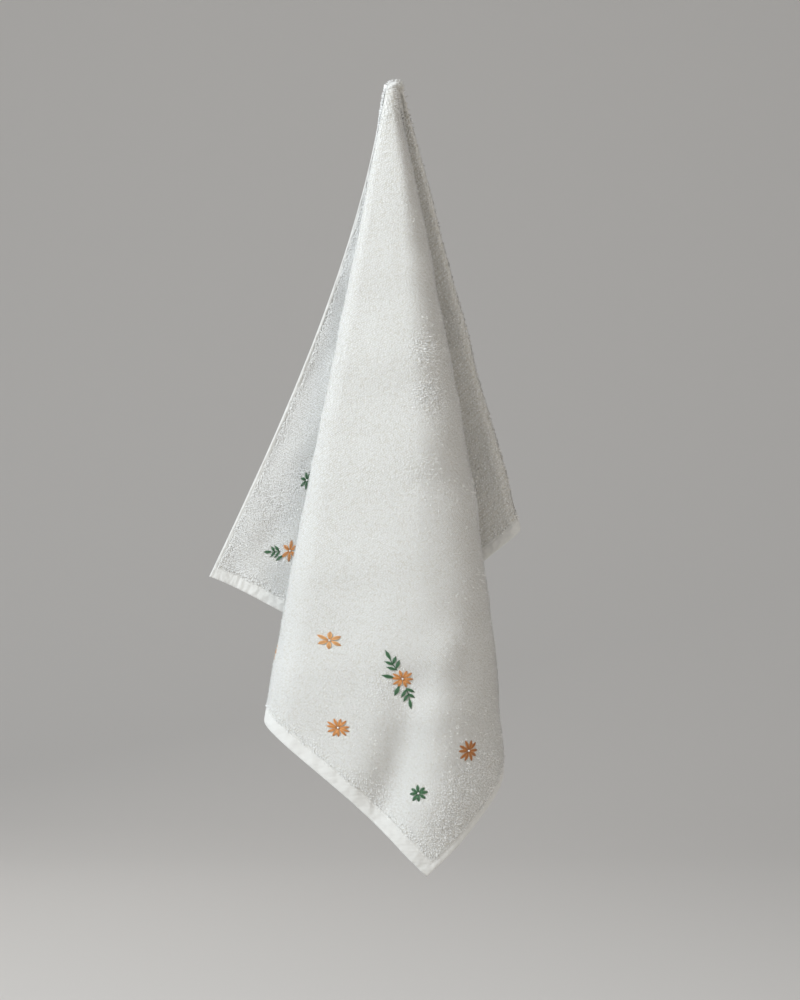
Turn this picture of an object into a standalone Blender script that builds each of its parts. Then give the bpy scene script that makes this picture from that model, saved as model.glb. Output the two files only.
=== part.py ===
"""A terry hand towel hanging from one point near the middle of a long edge.

The cloth is one sheet.  It is bunched at the point that holds it and falls in folds
that all start there: a wide panel in front, a wing on the left that shows the long
hem, a narrower wing on the right, and pleats tucked behind the panel.

Sizes are in metres.  +Z is up, the front faces -Y and the hanging point is the origin.
A place on the flat cloth is given from the hanging point: an angle round it, counted
from the left half of the held edge, and a distance.  A place on the hanging cloth is
given by its drop, the height it hangs below that point.
"""

import math
from typing import NamedTuple

import bpy
import numpy as np

# The flat cloth.
CLOTH_WIDTH = 0.446  # from the held long edge to the far long edge
REACH_LEFT = 0.443  # along the held edge, from the hanging point to the left end
REACH_RIGHT = 0.372  # the same to the right end
BIAS_STRETCH = 0.050  # how much longer the cloth hangs at 45 degrees to its threads
THICKNESS = 0.0022
SQUEEZED = 0.3  # share of the thickness left where the cloth is bunched at the top
SQUEEZED_TO = (0.010, 0.060)  # distances over which it gets its full thickness back

# The rounded top, where the cloth is pushed up from inside.
CROWN_SIZE = 0.0060  # how far from the point the cloth takes to turn downwards
DOME_RADIUS = 0.0078
DOME_FADE = (0.003, 0.016)  # distances over which the dome gives way to the bunch

# The stack of layers, from front to back.
FRONT_TOP = -0.0060  # place of the front layer at the top
FRONT_GROWTH = -0.066  # how much further forward it comes per metre of drop
PITCH_CROWN = 0.0012  # from one layer to the next, right at the top
PITCH_BUNCH = 0.0027  # the same once the pleats have begun
PITCH_GROWTH = 0.0105  # more pitch per metre of drop
PITCH_DROP = 0.026  # drop over which the pitch opens
PLEAT_DROP = (0.024, 0.100)  # drops between which the tucked pleats grow in

# The mesh.
NEAR_ROWS = (0.0028, 0.0055, 0.0085, 0.012, 0.016, 0.021, 0.028, 0.038, 0.054, 0.076)
FAR_ROWS = 16
EVEN_PASSES = 14  # how often the rows of the bunch are evened out
EVEN_DISTANCE = 0.090  # no evening out past this distance


class Fold(NamedTuple):
    """One line where the cloth turns, or a free edge, running down from the top."""

    name: str
    flat: float  # angle on the flat cloth, degrees
    dome: float  # direction on the dome, degrees from the front towards the right
    start: float  # sideways place in the bunch, metres
    slope: float  # sideways run per metre of drop
    flare: float  # more run per square metre of drop
    settle: float  # and per cubic metre
    grows_from: int  # a tucked pleat leaves this fold below the bunch; -1 for the rest
    back_in: float  # further back where the cloth arrives, per metre of drop
    back_out: float  # the same where the cloth leaves
    apex: float  # where the turn is widest, as a share of the way from in to out
    roll_in: float  # sideways size of the turn where the cloth arrives, per metre
    roll_out: float  # the same where the cloth leaves
    steps: int  # mesh steps round each half of the turn


class Layer(NamedTuple):
    """The cloth between one fold and the next."""

    name: str
    place: float  # counted from the front of the stack
    heading: int  # 1 when it runs to the right, -1 when it runs to the left
    swell: float  # how far it bows forward, per metre of drop
    crest: float  # where it bows furthest; 1 is the middle and less is nearer the start
    gather: float  # more of the cloth in the first half of the layer
    columns: int  # mesh columns between its two turns


class Crease(NamedTuple):
    """A soft trough or ridge across the front panel."""

    name: str
    across: tuple  # sideways places of its two ends, metres
    drop: tuple  # drops of its two ends, metres
    reach: float  # half of its width, metres
    lift: float  # forward where positive


FOLDS = (
    Fold("left hem", 0.0, -110, -0.0089, -0.1355, -0.7535, 0.557, -1, 0, -0.010, 0.5, 0, 0, 0),
    Fold("left inner", 22.5, -85, 0, 0.030, 0, 0, 2, 0, 0, 0.5, 0.012, 0.012, 2),
    Fold("panel left", 32.8, -60, -0.0068, -0.163, -0.138, 0.170, -1, 0, -0.024, 0.5, 0.020, 0.045, 4),
    Fold("panel right", 53.1, -5, -0.0008, 0.196, 0.060, -0.225, -1, -0.030, 0, 0.85, 0.125, 0.020, 5),
    Fold("inner 1", 70.5, 15, 0, -0.114, 0, 0, 3, 0, 0, 0.5, 0.010, 0.010, 2),
    Fold("inner 2", 87.5, 35, 0, 0.145, 0, 0, 3, 0, 0, 0.5, 0.010, 0.010, 2),
    Fold("inner 3", 104.5, 55, 0, -0.124, 0, 0, 3, 0, 0, 0.5, 0.010, 0.010, 2),
    Fold("inner 4", 121.5, 75, 0, 0.130, 0, 0, 3, 0, 0, 0.5, 0.010, 0.010, 2),
    Fold("inner 5", 138.5, 95, 0, -0.133, 0, 0, 3, 0, 0, 0.5, 0.010, 0.010, 2),
    Fold("wing right", 162.6, 135, 0.0067, 0.240, 0.071, 0, -1, -0.008, 0, 0.5, 0.014, 0.014, 3),
    Fold("right hem", 180.0, 200, -0.0045, -0.045, 0, 0, -1, 0.010, 0, 0.5, 0, 0, 0),
)

LAYERS = (
    Layer("left wing", 3.2, 1, 0, 1, 0.16, 5),
    Layer("left return", 2.2, -1, 0, 1, 0, 2),
    Layer("front panel", 0, 1, 0.016, 1.2, -0.044, 6),
    Layer("pleat 1", 4.6, -1, 0, 1, 0, 2),
    Layer("pleat 2", 5.5, 1, 0, 1, 0, 2),
    Layer("pleat 3", 6.4, -1, 0, 1, 0, 2),
    Layer("pleat 4", 7.3, 1, 0, 1, 0, 2),
    Layer("pleat 5", 8.2, -1, 0, 1, 0, 2),
    Layer("right wing", 9.2, 1, 0, 1, 0, 4),
    Layer("right return", 10.9, -1, 0, 1, 0, 4),
)

CREASES = (
    Crease("trough", (0.024, -0.010), (0.512, 0.598), 0.021, -0.0095),
    Crease("ridge", (0.050, 0.026), (0.470, 0.525), 0.019, 0.0070),
)


def ease(value, low, high):
    """0 below low, 1 above high, and smooth between them."""
    share = min(max((value - low) / (high - low), 0.0), 1.0)
    return share * share * (3.0 - 2.0 * share)


def edge_distance(flat_angle):
    """From the hanging point to the edge of the cloth, at an angle in degrees."""
    turn = math.radians(flat_angle)
    reaches = [CLOTH_WIDTH / max(math.sin(turn), 1e-9)]
    if math.cos(turn) > 1e-9:
        reaches.append(REACH_LEFT / math.cos(turn))
    elif math.cos(turn) < -1e-9:
        reaches.append(REACH_RIGHT / -math.cos(turn))
    return min(reaches) * (1.0 + BIAS_STRETCH * math.sin(2.0 * turn) ** 4)


def pitch_at(drop):
    """From one layer of the stack to the next."""
    opened = ease(drop, 0.0, PITCH_DROP)
    return PITCH_CROWN + (PITCH_BUNCH - PITCH_CROWN) * opened + PITCH_GROWTH * drop


def sideways_at(fold, drop):
    """The sideways place of a fold."""
    run = ((fold.settle * drop + fold.flare) * drop + fold.slope) * drop
    if fold.grows_from < 0:
        return fold.start + run
    base = sideways_at(FOLDS[fold.grows_from], drop)
    return base + ease(drop, *PLEAT_DROP) * (fold.start + run - base)


def depth_at(layer, back, drop):
    """How far back a layer lies where it meets a fold."""
    return FRONT_TOP + FRONT_GROWTH * drop + layer.place * pitch_at(drop) + back * drop


def turn_depth(number, drop):
    """How far back the widest place of a turn lies, between its two layers."""
    fold = FOLDS[number]
    arriving = LAYERS[max(number - 1, 0)]
    leaving = LAYERS[min(number, len(LAYERS) - 1)]
    if number == 0:
        return depth_at(leaving, fold.back_out, drop)
    if number == len(LAYERS):
        return depth_at(arriving, fold.back_in, drop)
    start = depth_at(arriving, fold.back_in, drop)
    return start + fold.apex * (depth_at(leaving, fold.back_out, drop) - start)


def crease_lift(across, drop):
    """How far the creases push the front panel forward."""
    lift = 0.0
    for crease in CREASES:
        ax, bx = crease.across
        az, bz = crease.drop
        run = (bx - ax) ** 2 + (bz - az) ** 2
        share = ((across - ax) * (bx - ax) + (drop - az) * (bz - az)) / run
        share = min(max(share, 0.0), 1.0)
        gap = math.hypot(across - ax - share * (bx - ax), drop - az - share * (bz - az))
        lift += crease.lift * math.exp(-((gap / crease.reach) ** 2))
    return lift


def bunch_point(number, share, drop):
    """A place across one layer, from 0 at its first fold to 3 at its second.

    0 to 1 is the quarter turn out of the first fold, 1 to 2 the span between the
    turns and 2 to 3 the quarter turn into the second fold.
    """
    layer, first, second = LAYERS[number], FOLDS[number], FOLDS[number + 1]
    xa, xb = sideways_at(first, drop), sideways_at(second, drop)
    across = abs(xb - xa)
    half = 0.5 * pitch_at(drop)
    rolls = [
        min(size * drop + (half if size else 0.0), 0.46 * across)
        for size in (first.roll_out, second.roll_in)
    ]
    ya = depth_at(layer, first.back_out, drop)
    yb = depth_at(layer, second.back_in, drop)
    if share <= 1.0:
        turn = 0.5 * math.pi * share
        apex = turn_depth(number, drop)
        x = xa + layer.heading * rolls[0] * (1.0 - math.cos(turn))
        y = apex + (ya - apex) * math.sin(turn)
    elif share >= 2.0:
        turn = 0.5 * math.pi * (3.0 - share)
        apex = turn_depth(number + 1, drop)
        x = xb - layer.heading * rolls[1] * (1.0 - math.cos(turn))
        y = apex + (yb - apex) * math.sin(turn)
    else:
        start = xa + layer.heading * rolls[0]
        end = xb - layer.heading * rolls[1]
        x = start + (end - start) * (share - 1.0)
        y = ya + (yb - ya) * (share - 1.0)
    if layer.swell and across > 1e-6:
        middle = math.sin(math.pi * min(abs(x - xa) / across, 1.0) ** layer.crest)
        y -= (layer.swell * drop + crease_lift(x, drop)) * middle
    return x, y


def hem_drop(number, share, reach):
    """The drop at which a line down the cloth has run its whole length."""
    drop = reach
    for _ in range(30):
        x, y = bunch_point(number, share, drop)
        drop = math.sqrt(max(reach * reach - x * x - y * y, 1e-8))
    return drop


def hanging_point(number, share, flat_angle, distance):
    """Where a place on the flat cloth hangs."""
    if distance < 1e-9:
        return (0.0, 0.0, 0.0)
    reach = edge_distance(flat_angle)

    def run_down(length):
        return math.hypot(length, CROWN_SIZE) - CROWN_SIZE

    drop = hem_drop(number, share, reach) * run_down(distance) / run_down(reach)
    spread = distance / math.hypot(distance, CROWN_SIZE)
    x, y = bunch_point(number, share, drop)
    first, second = FOLDS[number], FOLDS[number + 1]
    along = (flat_angle - first.flat) / (second.flat - first.flat)
    bearing = math.radians(first.dome + along * (second.dome - first.dome))
    settled = ease(distance, *DOME_FADE)
    x = spread * (settled * x + (1.0 - settled) * DOME_RADIUS * math.sin(bearing))
    y = spread * (settled * y - (1.0 - settled) * DOME_RADIUS * math.cos(bearing))
    return (x, y, -drop)


def angles_across(number):
    """Places across one layer and their flat angles, measured along the cloth's hem."""
    layer, first, second = LAYERS[number], FOLDS[number], FOLDS[number + 1]
    hem = 0.9 * edge_distance(0.5 * (first.flat + second.flat))
    shares = np.linspace(0.0, 3.0, 121)
    path = np.array([bunch_point(number, share, hem) for share in shares])
    run = np.concatenate(([0.0], np.cumsum(np.hypot(*np.diff(path, axis=0).T))))
    along = run / run[-1]
    along = along + layer.gather * np.sin(math.pi * along)
    return shares, first.flat + along * (second.flat - first.flat)


def lines_down():
    """Every line of the mesh that runs down the cloth: its layer, share and angle."""
    corners = (
        math.degrees(math.atan2(CLOTH_WIDTH, REACH_LEFT)),
        180.0 - math.degrees(math.atan2(CLOTH_WIDTH, REACH_RIGHT)),
    )
    lines = []
    for number, layer in enumerate(LAYERS):
        shares, angles = angles_across(number)
        places = {1.0 + i / (layer.columns + 1) for i in range(layer.columns + 2)}
        for end, fold in ((0.0, FOLDS[number]), (3.0, FOLDS[number + 1])):
            places |= {abs(end - i / max(fold.steps, 1)) for i in range(fold.steps)}
        places |= {0.0, 3.0}
        if not FOLDS[number].steps:
            places.discard(1.0)
        if not FOLDS[number + 1].steps:
            places.discard(2.0)
        at_angles = {share: float(np.interp(share, shares, angles)) for share in places}
        for corner in corners:
            if FOLDS[number].flat < corner < FOLDS[number + 1].flat:
                nearest = min(at_angles, key=lambda share: abs(at_angles[share] - corner))
                del at_angles[nearest]
                at_angles[float(np.interp(corner, angles, shares))] = corner
        ordered = sorted(at_angles)
        for share in ordered if number == 0 else ordered[1:]:
            lines.append((number, share, at_angles[share]))
    return lines


def evened(row, distance):
    """A row of points with its spacing and its sharp turns evened out, ends kept."""
    passes = round(EVEN_PASSES * (1.0 - ease(distance, 0.0, EVEN_DISTANCE)))
    for _ in range(passes):
        row[1:-1] = 0.5 * row[1:-1] + 0.25 * (row[:-2] + row[2:])
    return row


def cloth_mesh(name):
    """The middle surface of the cloth: a fan at the top, then rows down to the hems."""
    lines = lines_down()
    rows = len(NEAR_ROWS) + FAR_ROWS
    grid = np.zeros((len(lines), rows, 3))
    for i, (number, share, angle) in enumerate(lines):
        reach = edge_distance(angle)
        last = NEAR_ROWS[-1]
        far = [last + (reach - last) * (i + 1) / FAR_ROWS for i in range(FAR_ROWS)]
        for row, distance in enumerate((*NEAR_ROWS, *far)):
            grid[i, row] = hanging_point(number, share, angle, distance)
    for row, distance in enumerate(NEAR_ROWS):
        grid[:, row] = evened(grid[:, row], distance)
    points = [(0.0, 0.0, 0.0), *map(tuple, grid.reshape(-1, 3))]
    faces = []
    for i in range(len(lines) - 1):
        a, b = 1 + i * rows, 1 + (i + 1) * rows
        faces.append((0, a, b))
        for row in range(rows - 1):
            faces.append((a + row, a + row + 1, b + row + 1, b + row))
    mesh = bpy.data.meshes.new(name)
    mesh.from_pydata(points, [], faces)
    mesh.update()
    return mesh


def cloth_material():
    """White terry cotton."""
    material = bpy.data.materials.new("towel")
    material.use_nodes = True
    shader = material.node_tree.nodes["Principled BSDF"]
    shader.inputs["Base Color"].default_value = (0.80, 0.79, 0.76, 1.0)
    shader.inputs["Roughness"].default_value = 0.95
    shader.inputs["Metallic"].default_value = 0.0
    return material


def build_towel():
    """The towel, thickened from its middle surface."""
    for old in list(bpy.data.objects):
        bpy.data.objects.remove(old, do_unlink=True)
    collection = bpy.data.collections.new("hand_towel")
    bpy.context.scene.collection.children.link(collection)
    towel = bpy.data.objects.new("towel", cloth_mesh("towel"))
    collection.objects.link(towel)
    towel.data.materials.append(cloth_material())
    for polygon in towel.data.polygons:
        polygon.use_smooth = True
    full_thickness = towel.vertex_groups.new(name="full thickness")
    for vertex in towel.data.vertices:
        share = ease(vertex.co.length, *SQUEEZED_TO)
        full_thickness.add([vertex.index], share, "REPLACE")
    thicken = towel.modifiers.new("thickness", "SOLIDIFY")
    thicken.thickness = THICKNESS
    thicken.offset = 0.0
    thicken.thickness_vertex_group = SQUEEZED
    thicken.vertex_group = full_thickness.name


build_towel()
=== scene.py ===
"""The looks of a terry hand towel hung from one point: cloth, hems, pile and embroidery.

Metres throughout, +Z up, the front faces -Y and the hanging point is the origin.

A place on the flat cloth is given either as (u, v), where u runs from the hanging point
towards the left end along the held long edge and v runs away from that edge, or as an
angle from the u axis and a distance.  The cloth has two faces; the outer one (side +1)
shows on the front panel and on both wings.
"""

import logging
import math
from dataclasses import dataclass, field, fields
from enum import Enum
from typing import NamedTuple

import bmesh
import bpy
import numpy as np
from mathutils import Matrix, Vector
from mathutils.bvhtree import BVHTree

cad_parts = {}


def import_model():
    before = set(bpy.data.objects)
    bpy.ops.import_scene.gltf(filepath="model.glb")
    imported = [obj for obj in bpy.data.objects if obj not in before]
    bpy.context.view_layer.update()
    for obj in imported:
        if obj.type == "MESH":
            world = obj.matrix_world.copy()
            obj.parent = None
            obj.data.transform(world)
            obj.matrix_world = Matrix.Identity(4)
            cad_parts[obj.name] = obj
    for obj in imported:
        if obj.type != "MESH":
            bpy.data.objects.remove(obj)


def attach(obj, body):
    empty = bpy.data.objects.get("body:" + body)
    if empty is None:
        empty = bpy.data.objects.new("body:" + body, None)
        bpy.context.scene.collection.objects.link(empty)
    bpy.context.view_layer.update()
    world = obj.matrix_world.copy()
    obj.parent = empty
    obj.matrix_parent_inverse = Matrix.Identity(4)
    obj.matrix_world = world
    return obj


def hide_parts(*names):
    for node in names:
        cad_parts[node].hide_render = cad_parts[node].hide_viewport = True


LOG = logging.getLogger("towel")
MM = 0.001


class Fold(NamedTuple):
    """One line where the cloth turns, or a free edge, running down from the top."""

    name: str
    flat: float  # angle on the flat cloth, degrees
    dome: float  # direction on the dome, degrees from the front towards the right
    start: float  # sideways place in the bunch
    slope: float  # sideways run per metre of drop
    flare: float  # more run per square metre of drop
    settle: float  # and per cubic metre
    grows_from: int  # a tucked pleat leaves this fold below the bunch; -1 for the rest
    back_in: float  # further back where the cloth arrives, per metre of drop
    back_out: float  # the same where the cloth leaves
    apex: float  # where the turn is widest, as a share of the way from in to out
    roll_in: float  # sideways size of the turn where the cloth arrives, per metre
    roll_out: float  # the same where the cloth leaves
    steps: int  # mesh steps round each half of the turn


class Layer(NamedTuple):
    """The cloth between one fold and the next."""

    name: str
    place: float  # counted from the front of the stack
    heading: int  # 1 when it runs to the right, -1 when it runs to the left
    swell: float  # how far it bows forward, per metre of drop
    crest: float  # where it bows furthest; 1 is the middle and less is nearer the start
    gather: float  # more of the cloth in the first half of the layer
    columns: int  # mesh columns between its two turns


class Crease(NamedTuple):
    """A soft trough or ridge across the front panel."""

    name: str
    across: tuple[float, float]  # sideways places of its two ends
    drop: tuple[float, float]  # drops of its two ends
    reach: float  # half of its width
    lift: float  # forward where positive


class Ripple(NamedTuple):
    """A long shallow wave in the cloth."""

    heading: float  # direction of travel on the flat cloth, degrees
    length: float
    height: float
    phase: float


FOLDS = (
    Fold("left hem", 0.0, -110, -0.0089, -0.1355, -0.7535, 0.557, -1, 0, -0.010, 0.5, 0, 0, 0),
    Fold("left inner", 22.5, -85, 0, 0.030, 0, 0, 2, 0, 0, 0.5, 0.012, 0.012, 2),
    Fold("panel left", 32.8, -60, -0.0068, -0.163, -0.138, 0.170, -1, 0, -0.024, 0.5, 0.020, 0.045, 4),
    Fold("panel right", 53.1, -5, -0.0008, 0.196, 0.060, -0.225, -1, -0.030, 0, 0.85, 0.125, 0.020, 5),
    Fold("inner 1", 70.5, 15, 0, -0.114, 0, 0, 3, 0, 0, 0.5, 0.010, 0.010, 2),
    Fold("inner 2", 87.5, 35, 0, 0.145, 0, 0, 3, 0, 0, 0.5, 0.010, 0.010, 2),
    Fold("inner 3", 104.5, 55, 0, -0.124, 0, 0, 3, 0, 0, 0.5, 0.010, 0.010, 2),
    Fold("inner 4", 121.5, 75, 0, 0.130, 0, 0, 3, 0, 0, 0.5, 0.010, 0.010, 2),
    Fold("inner 5", 138.5, 95, 0, -0.133, 0, 0, 3, 0, 0, 0.5, 0.010, 0.010, 2),
    Fold("wing right", 162.6, 135, 0.0067, 0.240, 0.071, 0, -1, -0.008, 0, 0.5, 0.014, 0.014, 3),
    Fold("right hem", 180.0, 200, -0.0045, -0.045, 0, 0, -1, 0.010, 0, 0.5, 0, 0, 0),
)

LAYERS = (
    Layer("left wing", 3.2, 1, 0, 1, 0.16, 5),
    Layer("left return", 2.2, -1, 0, 1, 0, 2),
    Layer("front panel", 0, 1, 0.016, 1.2, -0.044, 6),
    Layer("pleat 1", 4.6, -1, 0, 1, 0, 2),
    Layer("pleat 2", 5.5, 1, 0, 1, 0, 2),
    Layer("pleat 3", 6.4, -1, 0, 1, 0, 2),
    Layer("pleat 4", 7.3, 1, 0, 1, 0, 2),
    Layer("pleat 5", 8.2, -1, 0, 1, 0, 2),
    Layer("right wing", 9.2, 1, 0, 1, 0, 4),
    Layer("right return", 10.9, -1, 0, 1, 0, 4),
)

CREASES = (
    Crease("trough", (0.024, -0.010), (0.512, 0.598), 0.021, -0.0095),
    Crease("ridge", (0.050, 0.026), (0.470, 0.525), 0.019, 0.0070),
)

RIPPLES = (
    Ripple(20.0, 0.090, 0.00045, 0.4),
    Ripple(75.0, 0.064, 0.00040, 2.1),
    Ripple(128.0, 0.050, 0.00030, 4.0),
    Ripple(52.0, 0.038, 0.00020, 1.3),
)


def ease(value: np.ndarray, low: float, high: float) -> np.ndarray:
    """Rises smoothly from 0 to 1.

    Args:
        value: What is compared with the two ends.
        low: Where the result starts to rise from 0.
        high: Where it reaches 1.

    Returns:
        The share, of the same shape as value.
    """
    share = np.clip((np.asarray(value, float) - low) / (high - low), 0.0, 1.0)
    return share * share * (3.0 - 2.0 * share)


@dataclass(frozen=True)
class FlatCloth:
    """The rectangle of cloth before it is hung.

    Attributes:
        width: From the held long edge to the far one.
        reach_left: From the hanging point to the left end.
        reach_right: From the hanging point to the right end.
        bias_stretch: How much longer the cloth hangs at 45 degrees to its threads.
        end_hem: Width of the hems at the two ends.
        side_hem: Width of the hems along the two long edges.
    """

    width: float = 0.446
    reach_left: float = 0.443
    reach_right: float = 0.372
    bias_stretch: float = 0.050
    end_hem: float = 0.0100
    side_hem: float = 0.0062

    def reach(self, angle: np.ndarray, inset: float = 0.0) -> np.ndarray:
        """Distance to the edge of the cloth, or to a line inside the edge.

        Args:
            angle: Angles on the flat cloth, in degrees.
            inset: How far inside the edge the line runs.

        Returns:
            The distances from the hanging point.
        """
        turn = np.radians(angle)
        sine = np.maximum(np.sin(turn), 1e-9)
        cosine = np.cos(turn)
        far = (self.width - inset) / sine
        left = (self.reach_left - inset) / np.maximum(cosine, 1e-9)
        right = (self.reach_right - inset) / np.maximum(-cosine, 1e-9)
        return np.minimum(far, np.minimum(left, right))

    def stretch(self, angle: np.ndarray) -> np.ndarray:
        """How much longer the hanging cloth is than the flat one, at an angle.

        Args:
            angle: Angles on the flat cloth, in degrees.

        Returns:
            The ratios, 1 along the threads.
        """
        return 1.0 + self.bias_stretch * np.sin(2.0 * np.radians(angle)) ** 4

    def edge_gaps(self, u: np.ndarray, v: np.ndarray) -> tuple[np.ndarray, np.ndarray]:
        """Distances to the hems.

        Args:
            u: Places along the held edge.
            v: Places away from it.

        Returns:
            The distance to the nearer end and to the nearer long edge.
        """
        ends = np.minimum(self.reach_left - u, self.reach_right + u)
        sides = np.minimum(v, self.width - v)
        return ends, sides

    def hem_depth(self, u: np.ndarray, v: np.ndarray) -> np.ndarray:
        """Distance inside the nearest hem's inner line, negative on a hem.

        Args:
            u: Places along the held edge.
            v: Places away from it.

        Returns:
            The signed distances.
        """
        ends, sides = self.edge_gaps(u, v)
        return np.minimum(ends - self.end_hem, sides - self.side_hem)


@dataclass(frozen=True)
class HangingShape:
    """The folds of the hung cloth, as a function of the flat one.

    Attributes:
        cloth: The flat cloth.
        crown_size: How far from the point the cloth takes to turn downwards.
        dome_radius: Size of the rounded top.
        dome_fade: Distances over which the dome gives way to the bunch.
        front_top: Place of the front layer at the top.
        front_growth: How much further forward it comes per metre of drop.
        pitch_crown: From one layer to the next right at the top.
        pitch_bunch: The same once the pleats have begun.
        pitch_growth: More pitch per metre of drop.
        pitch_drop: Drop over which the pitch opens.
        pleat_drop: Drops between which the tucked pleats grow in.
    """

    cloth: FlatCloth = FlatCloth()
    crown_size: float = 0.0060
    dome_radius: float = 0.0078
    dome_fade: tuple[float, float] = (0.003, 0.016)
    front_top: float = -0.0060
    front_growth: float = -0.066
    pitch_crown: float = 0.0012
    pitch_bunch: float = 0.0027
    pitch_growth: float = 0.0105
    pitch_drop: float = 0.026
    pleat_drop: tuple[float, float] = (0.024, 0.100)

    def pitch(self, drop: np.ndarray) -> np.ndarray:
        """From one layer of the stack to the next.

        Args:
            drop: Heights below the hanging point.

        Returns:
            The pitches.
        """
        opened = ease(drop, 0.0, self.pitch_drop)
        return self.pitch_crown + (self.pitch_bunch - self.pitch_crown) * opened + self.pitch_growth * drop

    def sideways(self, fold: Fold, drop: np.ndarray) -> np.ndarray:
        """The sideways place of a fold.

        Args:
            fold: The fold.
            drop: Heights below the hanging point.

        Returns:
            The x places.
        """
        run = ((fold.settle * drop + fold.flare) * drop + fold.slope) * drop
        if fold.grows_from < 0:
            return fold.start + run
        base = self.sideways(FOLDS[fold.grows_from], drop)
        return base + ease(drop, *self.pleat_drop) * (fold.start + run - base)

    def depth(self, layer: Layer, back: float, drop: np.ndarray) -> np.ndarray:
        """How far back a layer lies where it meets a fold.

        Args:
            layer: The layer.
            back: Further back, per metre of drop.
            drop: Heights below the hanging point.

        Returns:
            The y places.
        """
        return self.front_top + self.front_growth * drop + layer.place * self.pitch(drop) + back * drop

    def turn_depth(self, number: int, drop: np.ndarray) -> np.ndarray:
        """How far back the widest place of a turn lies.

        Args:
            number: The fold's number.
            drop: Heights below the hanging point.

        Returns:
            The y places.
        """
        fold = FOLDS[number]
        if number == 0:
            return self.depth(LAYERS[0], fold.back_out, drop)
        if number == len(LAYERS):
            return self.depth(LAYERS[-1], fold.back_in, drop)
        start = self.depth(LAYERS[number - 1], fold.back_in, drop)
        return start + fold.apex * (self.depth(LAYERS[number], fold.back_out, drop) - start)

    @staticmethod
    def crease_lift(across: np.ndarray, drop: np.ndarray) -> np.ndarray:
        """How far the creases push the front panel forward.

        Args:
            across: Sideways places.
            drop: Heights below the hanging point.

        Returns:
            The lifts.
        """
        lift = np.zeros_like(across)
        for crease in CREASES:
            (ax, bx), (az, bz) = crease.across, crease.drop
            run = (bx - ax) ** 2 + (bz - az) ** 2
            share = np.clip(((across - ax) * (bx - ax) + (drop - az) * (bz - az)) / run, 0.0, 1.0)
            gap = np.hypot(across - ax - share * (bx - ax), drop - az - share * (bz - az))
            lift = lift + crease.lift * np.exp(-((gap / crease.reach) ** 2))
        return lift

    def section(self, number: int, share: np.ndarray, drop: np.ndarray) -> tuple[np.ndarray, np.ndarray]:
        """A place across one layer, from 0 at its first fold to 3 at its second.

        Args:
            number: The layer's number.
            share: 0 to 1 is the turn out of the first fold, 1 to 2 the span between
                the turns and 2 to 3 the turn into the second fold.
            drop: Heights below the hanging point.

        Returns:
            The x and y places.
        """
        layer, first, second = LAYERS[number], FOLDS[number], FOLDS[number + 1]
        xa, xb = self.sideways(first, drop), self.sideways(second, drop)
        across = np.abs(xb - xa)
        half = 0.5 * self.pitch(drop)
        out, into = (
            np.minimum(size * drop + (half if size else 0.0), 0.46 * across)
            for size in (first.roll_out, second.roll_in)
        )
        ya = self.depth(layer, first.back_out, drop)
        yb = self.depth(layer, second.back_in, drop)
        turn_a = 0.5 * math.pi * np.clip(share, 0.0, 1.0)
        turn_b = 0.5 * math.pi * np.clip(3.0 - share, 0.0, 1.0)
        apex_a, apex_b = self.turn_depth(number, drop), self.turn_depth(number + 1, drop)
        start = xa + layer.heading * out
        end = xb - layer.heading * into
        middle = np.clip(share - 1.0, 0.0, 1.0)
        turning = xa + layer.heading * out * (1.0 - np.cos(turn_a))
        x = np.where(share <= 1.0, turning, start + (end - start) * middle)
        y = np.where(share <= 1.0, apex_a + (ya - apex_a) * np.sin(turn_a), ya + (yb - ya) * middle)
        x = np.where(share >= 2.0, xb - layer.heading * into * (1.0 - np.cos(turn_b)), x)
        y = np.where(share >= 2.0, apex_b + (yb - apex_b) * np.sin(turn_b), y)
        if layer.swell:
            along = np.minimum(np.abs(x - xa) / np.maximum(across, 1e-6), 1.0)
            bow = np.sin(math.pi * along**layer.crest)
            y = y - np.where(across > 1e-6, (layer.swell * drop + self.crease_lift(x, drop)) * bow, 0.0)
        return x, y

    def place(self, number: int, share: np.ndarray, angle: np.ndarray, distance: np.ndarray) -> np.ndarray:
        """Where places on the flat cloth hang.

        Args:
            number: The layer's number.
            share: Places across the layer, as for section.
            angle: Their angles on the flat cloth, in degrees.
            distance: Their distances on the flat cloth.

        Returns:
            The points, one more axis than share.
        """
        reach = self.cloth.reach(angle) * self.cloth.stretch(angle)
        run = distance * self.cloth.stretch(angle)
        full = reach.copy()
        for _ in range(30):
            x, y = self.section(number, share, full)
            full = np.sqrt(np.maximum(reach**2 - x**2 - y**2, 1e-8))
        size = self.crown_size
        drop = full * (np.hypot(run, size) - size) / (np.hypot(reach, size) - size)
        spread = run / np.hypot(run, size)
        x, y = self.section(number, share, drop)
        first, second = FOLDS[number], FOLDS[number + 1]
        along = (angle - first.flat) / (second.flat - first.flat)
        bearing = np.radians(first.dome + along * (second.dome - first.dome))
        settled = ease(run, *self.dome_fade)
        x = spread * (settled * x + (1.0 - settled) * self.dome_radius * np.sin(bearing))
        y = spread * (settled * y - (1.0 - settled) * self.dome_radius * np.cos(bearing))
        return np.stack([x, y, -drop], -1)

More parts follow.
